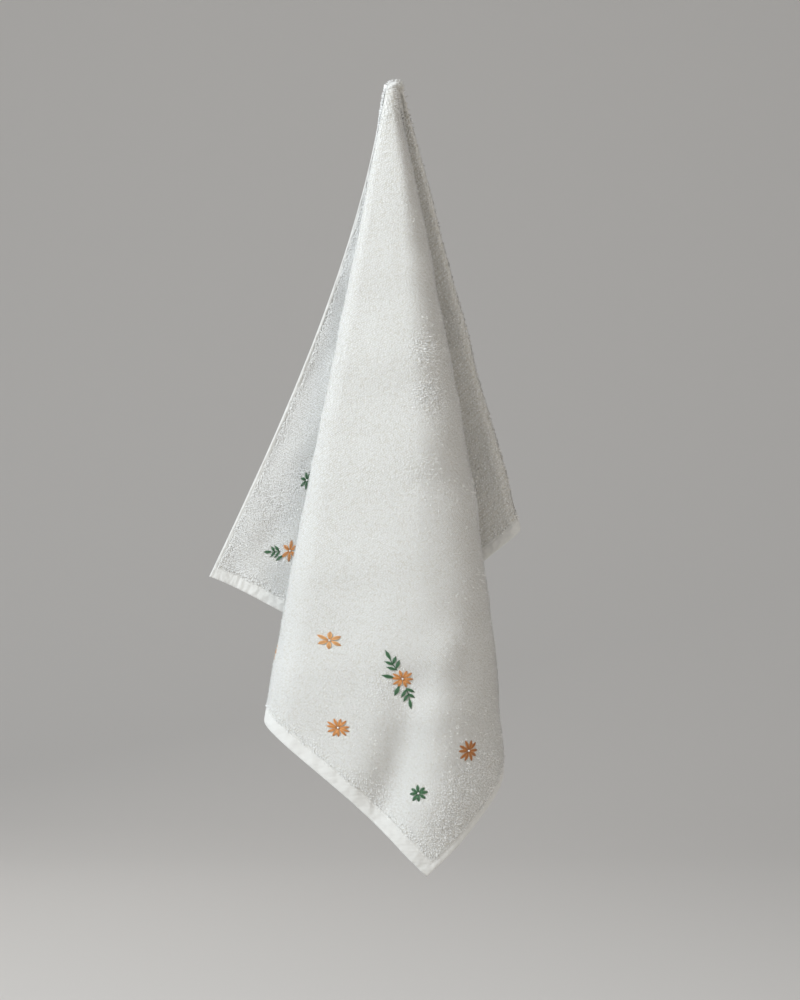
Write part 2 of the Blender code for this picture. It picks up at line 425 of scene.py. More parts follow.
    def angles_across(self, number: int) -> tuple[np.ndarray, np.ndarray]:
        """Places across one layer and their angles, measured along the cloth's hem.

        Args:
            number: The layer's number.

        Returns:
            The shares and their angles on the flat cloth.
        """
        layer, first, second = LAYERS[number], FOLDS[number], FOLDS[number + 1]
        middle = 0.5 * (first.flat + second.flat)
        hem = 0.9 * float(self.cloth.reach(middle) * self.cloth.stretch(middle))
        shares = np.linspace(0.0, 3.0, 121)
        x, y = self.section(number, shares, np.full_like(shares, hem))
        run = np.concatenate(([0.0], np.cumsum(np.hypot(np.diff(x), np.diff(y)))))
        along = run / run[-1]
        along = along + layer.gather * np.sin(math.pi * along)
        return shares, first.flat + along * (second.flat - first.flat)


NEAR_ROWS = np.array(
    (1.2, 2.8, 4.2, 5.5, 7.0, 8.5, 10.2, 12, 14, 16, 18.5, 21, 24.5, 28, 33, 38, 46, 54, 65, 76)
) * MM
HEM_ROWS = np.array(
    (14.0, 11.8, 10.6, 10.0, 9.4, 8.8, 8.2, 7.0, 6.2, 5.6, 5.0, 4.4, 2.6, 1.0, 0.35, 0.0)
) * MM
HEM_LINES = np.array((0.8, 2.4, 4.4, 5.0, 5.6, 6.2)) * MM


@dataclass
class ClothGrid:
    """Points of the hung cloth on lines that run down it and rows that run across.

    Attributes:
        shape: The folds.
        split: Lines for each line of the plain solid.
        far_rows: Rows between the bunch and the hems.
        even_passes: How often the rows of the bunch are evened out.
        even_distance: No evening out past this distance.
    """

    shape: HangingShape = field(default_factory=HangingShape)
    split: int = 4
    far_rows: int = 80
    even_passes: int = 14
    even_distance: float = 0.090

    def __post_init__(self) -> None:
        """Works out every point, normal and flat place of the grid."""
        self._lines()
        cloth = self.shape.cloth
        rows = len(NEAR_ROWS) + self.far_rows + len(HEM_ROWS) - 1
        self.angle = np.repeat(self.line_angle[:, None], rows, 1)
        self.distance = self._distances(self.angle)
        self._hem_lines()
        self.points = np.zeros(self.angle.shape + (3,))
        for number in range(len(LAYERS)):
            mine = self.line_layer == number
            shares, angles = self.shape.angles_across(number)
            angle = self.angle[mine]
            own_share = self.line_share[mine][:, None]
            share = np.where(self.is_hem_line[mine][:, None], np.interp(angle, angles, shares), own_share)
            if not FOLDS[number].steps:
                share = np.maximum(share, 1.0)
            if not FOLDS[number + 1].steps:
                share = np.minimum(share, 2.0)
            self.points[mine] = self.shape.place(number, share, angle, self.distance[mine])
        for row, distance in enumerate(NEAR_ROWS):
            fade = 1.0 - float(ease(distance, 0.0, self.even_distance))
            for _ in range(round(self.even_passes * self.split**2 * fade)):
                line = self.points[:, row]
                line[1:-1] = 0.5 * line[1:-1] + 0.25 * (line[:-2] + line[2:])
        turn = np.radians(self.angle)
        self.u = self.distance * np.cos(turn)
        self.v = self.distance * np.sin(turn)
        self.edge_ends, self.edge_sides = cloth.edge_gaps(self.u, self.v)
        self._normals()
        lift = np.zeros_like(self.u)
        for ripple in RIPPLES:
            way = math.radians(ripple.heading)
            phase = (self.u * math.cos(way) + self.v * math.sin(way)) / ripple.length
            lift += ripple.height * np.sin(2.0 * math.pi * phase + ripple.phase)
        lift *= ease(self.distance, 0.05, 0.20)
        self.points += self.normals * lift[..., None]
        self._normals()

    def _lines(self) -> None:
        """Sets the layer, share and angle of each line."""
        cloth = self.shape.cloth
        corners = (
            math.degrees(math.atan2(cloth.width, cloth.reach_left)),
            180.0 - math.degrees(math.atan2(cloth.width, cloth.reach_right)),
        )
        layers, shares, angles = [], [], []
        for number, layer in enumerate(LAYERS):
            table = self.shape.angles_across(number)
            low = 0.0 if FOLDS[number].steps else 1.0
            high = 3.0 if FOLDS[number + 1].steps else 2.0
            places = {1.0 + i / (layer.columns + 1) for i in range(layer.columns + 2)}
            for end, fold in ((0.0, FOLDS[number]), (3.0, FOLDS[number + 1])):
                places |= {abs(end - i / max(fold.steps, 1)) for i in range(fold.steps)}
            at_angles = {p: float(np.interp(p, *table)) for p in places if low <= p <= high}
            for corner in corners:
                if FOLDS[number].flat < corner < FOLDS[number + 1].flat:
                    nearest = min(at_angles, key=lambda share: abs(at_angles[share] - corner))
                    del at_angles[nearest]
                    at_angles[float(np.interp(corner, table[1], table[0]))] = corner
            base = np.array(sorted(at_angles))
            steps = np.arange((len(base) - 1) * self.split + 1) / self.split
            fine = np.interp(steps, np.arange(len(base)), base)
            fine = fine if number == 0 else fine[1:]
            layers += [number] * len(fine)
            shares += list(fine)
            angles += list(np.interp(fine, *table))
        self.line_layer, self.line_share = np.array(layers), np.array(shares)
        self.line_angle = np.array(angles)
        hems = len(HEM_LINES)
        for at, number in ((1, 0), (-1, len(LAYERS) - 1)):
            where = at if at > 0 else len(self.line_layer) - 1
            self.line_layer = np.insert(self.line_layer, where, [number] * hems)
            self.line_share = np.insert(self.line_share, where, [0.0] * hems)
            self.line_angle = np.insert(self.line_angle, where, [np.nan] * hems)
        self.is_hem_line = np.isnan(self.line_angle)
        self.near_angle = self.line_angle[1 + hems]
        self.far_angle = self.line_angle[-2 - hems]
        steps = np.arange(1, hems + 1) / (hems + 1)
        self.line_angle[1 : 1 + hems] = self.near_angle * steps
        self.line_angle[-1 - hems : -1] = self.far_angle + (180.0 - self.far_angle) * steps

    def _distances(self, angle: np.ndarray) -> np.ndarray:
        """Distances of the rows.

        Args:
            angle: Angle of each line in each row.

        Returns:
            The flat distances.
        """
        cloth, last = self.shape.cloth, NEAR_ROWS[-1]
        one = angle[:, :1]
        inner = cloth.reach(one, HEM_ROWS[0])
        share = np.arange(1, self.far_rows + 1)[None, :] / self.far_rows
        near = np.repeat(NEAR_ROWS[None, :], len(one), 0)
        hems = np.concatenate([cloth.reach(one, inset) for inset in HEM_ROWS[1:]], 1)
        return np.concatenate([near, last + (inner - last) * share, hems], 1)

    def _hem_line_angles(self, distance: np.ndarray) -> tuple[np.ndarray, np.ndarray]:
        """Angles of the lines that follow the hems of the held edge.

        Args:
            distance: Flat distances.

        Returns:
            The angles near 0 degrees and near 180 degrees, one more axis than distance.
        """
        hems = len(HEM_LINES)
        steps = np.arange(1, hems + 1) / (hems + 1)
        along = np.degrees(np.arcsin(np.clip(HEM_LINES / np.maximum(distance[..., None], 1e-4), 0.0, 0.9)))
        near = np.minimum(along, self.near_angle * steps)
        far = 180.0 - np.minimum(along, (180.0 - self.far_angle) * steps)
        return near, far[..., ::-1]

    def _hem_lines(self) -> None:
        """Bends the first and last few lines to follow the hems of the held edge."""
        hems = len(HEM_LINES)
        for lines, side in ((slice(1, 1 + hems), 0), (slice(-1 - hems, -1), 1)):
            for _ in range(3):
                found = self._hem_line_angles(self.distance[lines])[side]
                own = np.stack([found[i, :, i] for i in range(hems)])
                self.angle[lines] = own
                cloth, last = self.shape.cloth, NEAR_ROWS[-1]
                inner = cloth.reach(own, HEM_ROWS[0])
                count = len(NEAR_ROWS)
                share = np.arange(1, self.far_rows + 1)[None, :] / self.far_rows
                far = slice(count, count + self.far_rows)
                self.distance[lines, far] = last + (inner[:, far] - last) * share
                for i, inset in enumerate(HEM_ROWS[1:]):
                    row = count + self.far_rows + i
                    self.distance[lines, row] = cloth.reach(own[:, row], inset)

    def _normals(self) -> None:
        """Works out the normals of the outer face and the way down at every point."""
        across = np.gradient(self.points, axis=0)
        down = np.gradient(self.points, axis=1)
        down[:, 0] = self.points[:, 0]
        normal = np.cross(across, down)
        size = np.linalg.norm(normal, axis=-1, keepdims=True)
        normal = normal / np.maximum(size, 1e-12)
        panel = self.line_layer == 2
        if normal[panel][..., 1].mean() > 0:
            normal = -normal
        self.normals = normal
        self.down = down / np.maximum(np.linalg.norm(down, axis=-1, keepdims=True), 1e-12)

    def coordinates(self, u: np.ndarray, v: np.ndarray) -> tuple[np.ndarray, np.ndarray]:
        """Line and row numbers, with fractions, of places on the flat cloth.

        Args:
            u: Places along the held edge.
            v: Places away from it.

        Returns:
            The line numbers and the row numbers.
        """
        cloth, count = self.shape.cloth, len(NEAR_ROWS)
        distance = np.hypot(u, v)
        angle = np.degrees(np.arctan2(np.maximum(v, 0.0), u))
        inner = cloth.reach(angle, HEM_ROWS[0])
        near = np.interp(distance, np.concatenate(([0.0], NEAR_ROWS)), np.arange(-1, count))
        share = (distance - NEAR_ROWS[-1]) / (inner - NEAR_ROWS[-1])
        ends = np.minimum(cloth.reach_left - u, cloth.reach_right + u)
        inset = np.minimum(ends, cloth.width - v)
        hem = np.interp(-inset, -HEM_ROWS, np.arange(len(HEM_ROWS)))
        row = np.where(distance < NEAR_ROWS[-1], near, count - 1 + share * self.far_rows)
        row = np.where(distance > inner, count - 1 + self.far_rows + hem, row)
        regular = ~self.is_hem_line
        numbers = np.arange(len(self.line_angle))
        line = np.interp(angle, self.line_angle[regular], numbers[regular])
        hems = len(HEM_LINES)
        left, right = angle < self.near_angle, angle > self.far_angle
        for mask, side, first, ends_at in (
            (left, 0, 0, (0.0, self.near_angle)),
            (right, 1, len(numbers) - 2 - hems, (self.far_angle, 180.0)),
        ):
            found = self._hem_line_angles(distance[mask])[side]
            table = np.concatenate(
                [np.full((len(found), 1), ends_at[0]), found, np.full((len(found), 1), ends_at[1])], 1
            )
            own = angle[mask][:, None]
            below = np.clip((table <= own).sum(1) - 1, 0, hems)
            at = np.arange(len(found))
            gap = np.maximum(table[at, below + 1] - table[at, below], 1e-9)
            line[mask] = first + below + np.clip((own[:, 0] - table[at, below]) / gap, 0.0, 1.0)
        return line, np.clip(row, 0.0, self.points.shape[1] - 1.001)

    def sample(self, values: np.ndarray, line: np.ndarray, row: np.ndarray) -> np.ndarray:
        """Values of the grid between its points.

        Args:
            values: An array over lines and rows, with any further axes.
            line: Line numbers with fractions.
            row: Row numbers with fractions.

        Returns:
            The values, blended from the four nearest points.
        """
        i = np.clip(line.astype(int), 0, values.shape[0] - 2)
        j = np.clip(row.astype(int), 0, values.shape[1] - 2)
        more = (1,) * (values.ndim - 2)
        a = (line - i).reshape(line.shape + more)
        b = (row - j).reshape(row.shape + more)
        near = values[i, j] * (1 - b) + values[i, j + 1] * b
        return near * (1 - a) + (values[i + 1, j] * (1 - b) + values[i + 1, j + 1] * b) * a

    def on_face(self, u: np.ndarray, v: np.ndarray, height: np.ndarray, side: int = 1) -> np.ndarray:
        """Points at a height over one face of the cloth's middle surface.

        Args:
            u: Places along the held edge.
            v: Places away from it.
            height: Heights over the middle surface.
            side: 1 for the outer face and -1 for the inner one.

        Returns:
            The points.
        """
        line, row = self.coordinates(u, v)
        normal = self.sample(self.normals, line, row)
        normal /= np.maximum(np.linalg.norm(normal, axis=-1, keepdims=True), 1e-9)
        return self.sample(self.points, line, row) + normal * (side * height)[..., None]


def new_mesh(name: str, points: np.ndarray, quads: np.ndarray) -> bpy.types.Mesh:
    """A mesh of quads, shaded smooth.

    Args:
        name: The mesh's name.
        points: Its points.
        quads: Four point numbers for each face.

    Returns:
        The mesh.
    """
    mesh = bpy.data.meshes.new(name)
    mesh.vertices.add(len(points))
    mesh.vertices.foreach_set("co", points.astype(np.float32).ravel())
    mesh.loops.add(quads.size)
    mesh.loops.foreach_set("vertex_index", quads.astype(np.int32).ravel())
    mesh.polygons.add(len(quads))
    mesh.polygons.foreach_set("loop_start", np.arange(0, quads.size, quads.shape[1], dtype=np.int32))
    mesh.update(calc_edges=True)
    mesh.shade_smooth()
    return mesh


def add_attribute(mesh: bpy.types.Mesh, name: str, values: np.ndarray) -> None:
    """Gives each point of a mesh a number.

    Args:
        mesh: The mesh.
        name: The attribute's name.
        values: One number for each point.
    """
    made = mesh.attributes.new(name, "FLOAT", "POINT")
    made.data.foreach_set("value", values.astype(np.float32).ravel())


def add_object(name: str, mesh: bpy.types.Mesh, material: bpy.types.Material) -> bpy.types.Object:
    """Puts a mesh in the scene as a piece of the towel.

    Args:
        name: The piece's name.
        mesh: Its mesh.
        material: Its material.

    Returns:
        The piece.
    """
    mesh.materials.append(material)
    made = bpy.data.objects.new(name, mesh)
    bpy.context.scene.collection.objects.link(made)
    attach(made, "root")
    LOG.info("%s: %d faces", name, len(mesh.polygons))
    return made


class Nodes:
    """Short calls for making the nodes of a material or a node group."""

    def __init__(self, tree: bpy.types.NodeTree) -> None:
        """Keeps the tree.

        Args:
            tree: The node tree that is being built.
        """
        self.tree = tree

    def add(self, kind: str, **settings: object) -> bpy.types.Node:
        """Adds a node.

        Args:
            kind: The node's type without its prefix.
            **settings: Properties of the node.

        Returns:
            The node.
        """
        node = self.tree.nodes.new("ShaderNode" + kind)
        for name, value in settings.items():
            setattr(node, name, value)
        return node

    def link(self, source: bpy.types.NodeSocket, target: bpy.types.NodeSocket) -> None:
        """Joins two sockets.

        Args:
            source: An output.
            target: An input.
        """
        self.tree.links.new(source, target)

    def math(self, operation: str, first: object, second: object = 0.0) -> bpy.types.NodeSocket:
        """A sum of two sockets or numbers.

        Args:
            operation: The operation's name.
            first: A socket or a number.
            second: A socket or a number.

        Returns:
            The result's socket.
        """
        node = self.add("Math", operation=operation)
        for target, value in zip(node.inputs, (first, second)):
            if isinstance(value, (int, float)):
                target.default_value = value
            else:
                self.link(value, target)
        return node.outputs[0]

    def mix(self, share: object, first: object, second: object) -> bpy.types.NodeSocket:
        """A colour between two.

        Args:
            share: The share of the second colour.
            first: A socket or a colour.
            second: A socket or a colour.

        Returns:
            The colour's socket.
        """
        node = self.add("Mix", data_type="RGBA")
        for target, value in ((node.inputs[0], share), (node.inputs[6], first), (node.inputs[7], second)):
            if isinstance(value, bpy.types.NodeSocket):
                self.link(value, target)
            else:
                target.default_value = value
        return node.outputs[2]

    def ramp(self, value: bpy.types.NodeSocket, low: float, high: float) -> bpy.types.NodeSocket:
        """Rises from 0 to 1 between two values.

        Args:
            value: The socket that is read.
            low: Where the result starts to rise.
            high: Where it reaches 1.

        Returns:
            The result's socket.
        """
        node = self.add("MapRange", interpolation_type="SMOOTHSTEP")
        node.inputs["From Min"].default_value = low
        node.inputs["From Max"].default_value = high
        self.link(value, node.inputs["Value"])
        return node.outputs[0]


def new_group(
    name: str, inputs: dict[str, str], outputs: dict[str, str]
) -> tuple[bpy.types.NodeTree, Nodes]:
    """A shader node group with named sockets.

    Args:
        name: The group's name.
        inputs: Socket types by name.
        outputs: Socket types by name.

    Returns:
        The group and a helper that adds nodes to it.
    """
    group = bpy.data.node_groups.new(name, "ShaderNodeTree")
    for direction, sockets in (("INPUT", inputs), ("OUTPUT", outputs)):
        for label, kind in sockets.items():
            group.interface.new_socket(name=label, in_out=direction, socket_type="NodeSocket" + kind)
    return group, Nodes(group)


def terry_ground_group() -> bpy.types.NodeTree:
    """The cloth under the pile and the flat weave of the hems, on the flat cloth.

    Returns:
        The group: Place and Hem Depth in, Height and Gap out; Gap is the share of painted shade between the
            loops.
    """
    group, nodes = new_group(
        "terry_ground", {"Place": "Vector", "Hem Depth": "Float"}, {"Height": "Float", "Painted Shade": "Float"}
    )
    start = group.nodes.new("NodeGroupInput")
    end = group.nodes.new("NodeGroupOutput")

    def pattern(kind: str, sizes: dict[str, float], **settings: str) -> bpy.types.Node:
        """A pattern on the flat cloth.

        Args:
            kind: The texture's kind.
            sizes: Its values by name.
            **settings: Its options.

        Returns:
            The texture's node.
        """
        node = nodes.add("Tex" + kind, **settings)
        for label, value in sizes.items():
            node.inputs[label].default_value = value
        nodes.link(start.outputs["Place"], node.inputs["Vector"])
        return node

    loops = pattern("Voronoi", {"Scale": 620.0, "Smoothness": 0.35}, feature="SMOOTH_F1")
    tousle = pattern("Noise", {"Scale": 150.0, "Detail": 3.0})
    pucker = pattern("Noise", {"Scale": 120.0, "Detail": 1.0})
    weave = pattern(
        "Wave", {"Scale": 420.0, "Distortion": 1.5}, wave_type="BANDS", bands_direction="DIAGONAL"
    )
    pile = nodes.ramp(start.outputs["Hem Depth"], -0.0006, 0.0010)
    between = nodes.math("MULTIPLY", loops.outputs["Distance"], 1.3)
    loop = nodes.math("MULTIPLY", nodes.math("SUBTRACT", 1.0, between), 0.6)
    tall = nodes.math("ADD", loop, nodes.math("MULTIPLY", tousle.outputs["Fac"], 0.9))
    woven = nodes.math("MULTIPLY", weave.outputs["Fac"], 0.22)
    flat = nodes.math("ADD", woven, nodes.math("MULTIPLY", pucker.outputs["Fac"], 4.5))
    low = nodes.math("MULTIPLY", flat, nodes.math("SUBTRACT", 1.0, pile))
    nodes.link(nodes.math("ADD", nodes.math("MULTIPLY", tall, pile), low), end.inputs["Height"])
    # Painted shade between the loop cells, only where the pile grows.
    gap = nodes.math("MULTIPLY", nodes.ramp(loops.outputs["Distance"], 0.35, 0.85), pile)
    nodes.link(gap, end.inputs["Painted Shade"])
    return group


@dataclass(frozen=True)
class TerryFinish:
    """White cotton terry.

    Attributes:
        lit: Colour of the loops where they catch the light.
        gap: Colour of painted shade, taken by the loops towards their roots and lower rows and by the cloth
            between them.
        hem: Colour of the flat weave, and of the cloth under the pile.
        shade_share: How much painted shade the cloth takes between the loops.
        roughness: Roughness of the cotton.
        sheen: Weight of the soft fuzz light.
    """

    lit: tuple[float, float, float, float] = (0.87, 0.88, 0.885, 1.0)
    gap: tuple[float, float, float, float] = (0.50, 0.475, 0.41, 1.0)
    hem: tuple[float, float, float, float] = (0.685, 0.685, 0.668, 1.0)
    shade_share: float = 0.4
    roughness: float = 0.95
    sheen: float = 0.25

    def _shader(self, material: bpy.types.Material) -> bpy.types.Node:
        """Sets the constants of the cotton's shader.

        Args:
            material: The material, with nodes.

        Returns:
            Its shader node.
        """
        shader = material.node_tree.nodes["Principled BSDF"]
        shader.inputs["Roughness"].default_value = self.roughness
        shader.inputs["Specular IOR Level"].default_value = 0.2
        shader.inputs["Sheen Weight"].default_value = self.sheen
        shader.inputs["Sheen Roughness"].default_value = 0.6
        return shader

    def ground(self) -> bpy.types.Material:
        """The cloth itself, under the pile and on the hems.

        Returns:
            The material.
        """
        material = bpy.data.materials.new("terry_ground")
        material.use_nodes = True
        nodes = Nodes(material.node_tree)
        shader = self._shader(material)
        place = nodes.add("UVMap", uv_map="flat")
        depth = nodes.add("Attribute", attribute_name="hem_depth")
        group = nodes.add("Group", node_tree=terry_ground_group())
        nodes.link(place.outputs["UV"], group.inputs["Place"])
        nodes.link(depth.outputs["Fac"], group.inputs["Hem Depth"])
        # The hem colour darkened by painted shade between the loops.
        gap = nodes.math("MULTIPLY", group.outputs["Painted Shade"], self.shade_share)
        nodes.link(nodes.mix(gap, self.hem, self.gap), shader.inputs["Base Color"])
        bump = nodes.add("Bump")
        bump.inputs["Strength"].default_value = 0.7
        bump.inputs["Distance"].default_value = 0.0007
        nodes.link(group.outputs["Height"], bump.inputs["Height"])
        nodes.link(bump.outputs["Normal"], shader.inputs["Normal"])
        return material

    def pile(self) -> bpy.types.Material:
        """The loops that stand on the cloth.

        Returns:
            The material.
        """
        material = bpy.data.materials.new("terry_pile")
        material.use_nodes = True
        nodes = Nodes(material.node_tree)
        shader = self._shader(material)
        tone = nodes.add("Attribute", attribute_name="tone")
        group, inner = new_group(
            "pile_tone_and_shade", {"Tone": "Float", "Lit": "Color", "Painted Shade": "Color"}, {"Color": "Color"}
        )
        start, end = group.nodes.new("NodeGroupInput"), group.nodes.new("NodeGroupOutput")
        # The tone mixes the lit colour of the loops with painted shade.
        colour = inner.mix(start.outputs["Tone"], start.outputs["Painted Shade"], start.outputs["Lit"])
        inner.link(colour, end.inputs["Color"])
        made = nodes.add("Group", node_tree=group)
        made.inputs["Lit"].default_value = self.lit
        made.inputs["Painted Shade"].default_value = self.gap
        nodes.link(tone.outputs["Fac"], made.inputs["Tone"])
        nodes.link(made.outputs["Color"], shader.inputs["Base Color"])
        return material


@dataclass(frozen=True)
class ThreadFinish:
    """A mercerised embroidery or sewing thread.

    Attributes:
        name: The material's name.
        light: Colour of a petal's outer stitches and of each stitch's middle: a painted highlight.
        shaded_core: Colour of a petal's inner stitches and of each stitch's ends: painted shade.
        roughness: Roughness of the thread.
    """

    name: str
    light: tuple[float, float, float, float]
    shaded_core: tuple[float, float, float, float]
    roughness: float = 0.50

    def material(self) -> bpy.types.Material:
        """Makes the material.

        Returns:
            The material.
        """
        material = bpy.data.materials.new(self.name)
        material.use_nodes = True
        nodes = Nodes(material.node_tree)
        shader = material.node_tree.nodes["Principled BSDF"]
        shader.inputs["Roughness"].default_value = self.roughness
        shader.inputs["Sheen Weight"].default_value = 0.15
        tone = nodes.add("Attribute", attribute_name="tone")
        nodes.link(nodes.mix(tone.outputs["Fac"], self.shaded_core, self.light), shader.inputs["Base Color"])
        where = nodes.add("TexCoord")
        strands = nodes.add("TexNoise")
        strands.inputs["Scale"].default_value = 2200.0
        nodes.link(where.outputs["Object"], strands.inputs["Vector"])
        bump = nodes.add("Bump")
        bump.inputs["Strength"].default_value = 0.4
        bump.inputs["Distance"].default_value = 0.0002
        nodes.link(strands.outputs["Fac"], bump.inputs["Height"])
        nodes.link(bump.outputs["Normal"], shader.inputs["Normal"])
        return material


@dataclass(frozen=True)
class ClothSheet:
    """The sheet of cloth with its turned hems.

    Attributes:
        thickness: Thickness of a hem, the thickest place.
        ground: Thickness under the pile.
        groove: Thickness along the stitches.
        groove_reach: Half the groove's width.
        edge_round: How far in from the edge the cloth has its full thickness.
        squeezed: Share of the thickness left in the bunch.
        squeezed_to: Distances over which it gets its thickness back.
        stitch_inset: From a hem's inner line to its stitches.
    """

    thickness: float = 0.0026
    ground: float = 0.0020
    groove: float = 0.0013
    groove_reach: float = 0.0007
    edge_round: float = 0.0011
    squeezed: float = 0.35
    squeezed_to: tuple[float, float] = (0.010, 0.060)
    stitch_inset: float = 0.0012

    def _thickness(self, grid: ClothGrid) -> np.ndarray:
        """Thickness at each point of the grid, as a share of the thickest.

        Args:
            grid: The cloth's points.

        Returns:
            The shares.
        """
        cloth = grid.shape.cloth
        edge = np.minimum(grid.edge_ends, grid.edge_sides)
        inside = np.minimum(grid.edge_ends - cloth.end_hem, grid.edge_sides - cloth.side_hem)
        size = np.where(inside > 0, self.ground, self.thickness)
        gap = (inside + self.stitch_inset) / self.groove_reach
        size = size - (size - self.groove) * np.exp(-(gap**2))
        size = size * (0.55 + 0.45 * np.sqrt(np.clip(edge / self.edge_round, 0.0, 1.0)))
        kept = self.squeezed + (1.0 - self.squeezed) * ease(grid.distance, *self.squeezed_to)
        return size * kept / self.thickness

    def build(self, grid: ClothGrid, material: bpy.types.Material) -> bpy.types.Object:
        """Makes the sheet.

        Args:
            grid: The cloth's points.
            material: The cloth's material.

        Returns:
            The piece.
        """
        lines, rows = grid.u.shape
        work = bmesh.new()
        bmesh.ops.create_grid(work, x_segments=rows, y_segments=lines - 1, size=0.5)
        uv = work.loops.layers.uv.new("flat")
        hem = work.verts.layers.float.new("hem_depth")
        group = work.verts.layers.deform.verify()
        tip = [v for v in work.verts if v.co.x < -0.5 + 0.5 / rows]
        order = sorted(work.verts, key=lambda v: (round(v.co.y, 6), round(v.co.x, 6)))
        zero = np.zeros((lines, 1))
        points = np.concatenate([np.zeros((lines, 1, 3)), grid.points], 1).reshape(-1, 3)
        share = np.concatenate([zero + self.squeezed, self._thickness(grid)], 1).ravel()
        flat = np.stack([np.concatenate([zero, part], 1) for part in (grid.u, grid.v)], -1).reshape(-1, 2)
        depth = grid.shape.cloth.hem_depth(flat[:, 0], flat[:, 1])
        number = {}
        for i, vert in enumerate(order):
            vert.co = points[i]
            vert[hem] = depth[i]
            vert[group][0] = float(share[i])
            number[vert] = i
        for face in work.faces:
            face.smooth = True
            for loop in face.loops:
                loop[uv].uv = flat[number[loop.vert]]
        bmesh.ops.remove_doubles(work, verts=tip, dist=1e-7)
        mesh = bpy.data.meshes.new("cloth")
        work.to_mesh(mesh)
        work.free()
        piece = add_object("cloth", mesh, material)
        piece.vertex_groups.new(name="thickness")
        solid = piece.modifiers.new("thickness", "SOLIDIFY")
        solid.thickness = self.thickness
        solid.offset = 0.0
        solid.vertex_group = "thickness"
        solid.thickness_vertex_group = 0.0
        return piece


@dataclass
class Exposure:
    """Which parts of the cloth's two faces can be seen, and from where.

    Attributes:
        grid: The cloth's points.
        lift: How far off the cloth a line of sight starts.
        every: Only every second, third... line and row is tested.
    """

    grid: ClothGrid
    lift: float = 0.0016
    every: int = 2

    def __post_init__(self) -> None:
        """Tests the lines of sight of both faces."""
        points = self.grid.points
        lines, rows = points.shape[:2]
        number = np.arange(lines * rows).reshape(lines, rows)
        quads = np.stack([number[:-1, :-1], number[:-1, 1:], number[1:, 1:], number[1:, :-1]], -1)
        tree = BVHTree.FromPolygons(points.reshape(-1, 3).tolist(), quads.reshape(-1, 4).tolist())
        self.front: dict[int, np.ndarray] = {}
        self.round: dict[int, np.ndarray] = {}
        turns = [math.radians(i * 45.0) for i in range(8)]
        rises = [math.radians(rise) for rise in (-25.0, 0.0, 30.0)]
        ways = [
            Vector((math.sin(a) * math.cos(e), -math.cos(a) * math.cos(e), math.sin(e)))
            for a in turns
            for e in rises
        ]
        ahead = Vector((0.0, -1.0, 0.0))
        some = (slice(None, None, self.every), slice(None, None, self.every))
        for side in (1, -1):
            normals = self.grid.normals[some] * side
            starts = points[some] + normals * self.lift
            seen, around = np.zeros(starts.shape[:2]), np.zeros(starts.shape[:2])
            for i, j in np.ndindex(*starts.shape[:2]):
                start, normal = Vector(starts[i, j]), Vector(normals[i, j])
                if normal.dot(ahead) > -0.12 and tree.ray_cast(start, ahead)[0] is None:
                    seen[i, j] = 1.0
                    continue
                for way in ways:
                    if normal.dot(way) > 0.15 and tree.ray_cast(start, way)[0] is None:
                        around[i, j] = 1.0
                        break
            self.front[side], self.round[side] = seen, around

    def at(self, table: np.ndarray, line: np.ndarray, row: np.ndarray) -> np.ndarray:
        """Reads one of the tables between the tested points.

        Args:
            table: The table of a face.
            line: Line numbers with fractions.
            row: Row numbers with fractions.

        Returns:
            Shares from 0 to 1.
        """
        return self.grid.sample(table, line / self.every, row / self.every)


class Tousle(NamedTuple):
    """A patch where the pile is ruffled."""

    u: float
    v: float
    radius: float
    amount: float


@dataclass
class Loops:
    """The loops of one face, with a value for each in every array.

    Attributes:
        origin: Where they stand on the middle surface.
        axes: The way they lean, the way across that and the way up.
        size: Their heights.
        breadth: Their widths.
        near: How near the hanging point they are, from 0 to 1.
        tilt: How far the two sides of a lying loop turn away.
        shade: How much darker they are: a random tone plus painted shade on the lower rows.
        stands: True where a loop stands up.
    """

    origin: np.ndarray
    axes: np.ndarray
    size: np.ndarray
    breadth: np.ndarray
    near: np.ndarray
    tilt: np.ndarray
    shade: np.ndarray
    stands: np.ndarray

    def only(self, chosen: np.ndarray) -> "Loops":
        """Some of the loops.

        Args:
            chosen: True where a loop is kept.

        Returns:
            The kept loops.
        """
        return Loops(**{one.name: getattr(self, one.name)[chosen] for one in fields(self)})


@dataclass
class LoopForm:
    """What the loops of one kind are made of, in their own axes.

    Attributes:
        places: Distances along the lean, across it and up, by loop and point.
        facing: The same for the way that each point faces.
        rise: Tone of each point of a loop, with painted shade towards its root.
        quads: Four point numbers for each face of a loop.
    """

    places: tuple[np.ndarray, np.ndarray, np.ndarray]
    facing: tuple[np.ndarray, np.ndarray, np.ndarray]
    rise: np.ndarray
    quads: np.ndarray


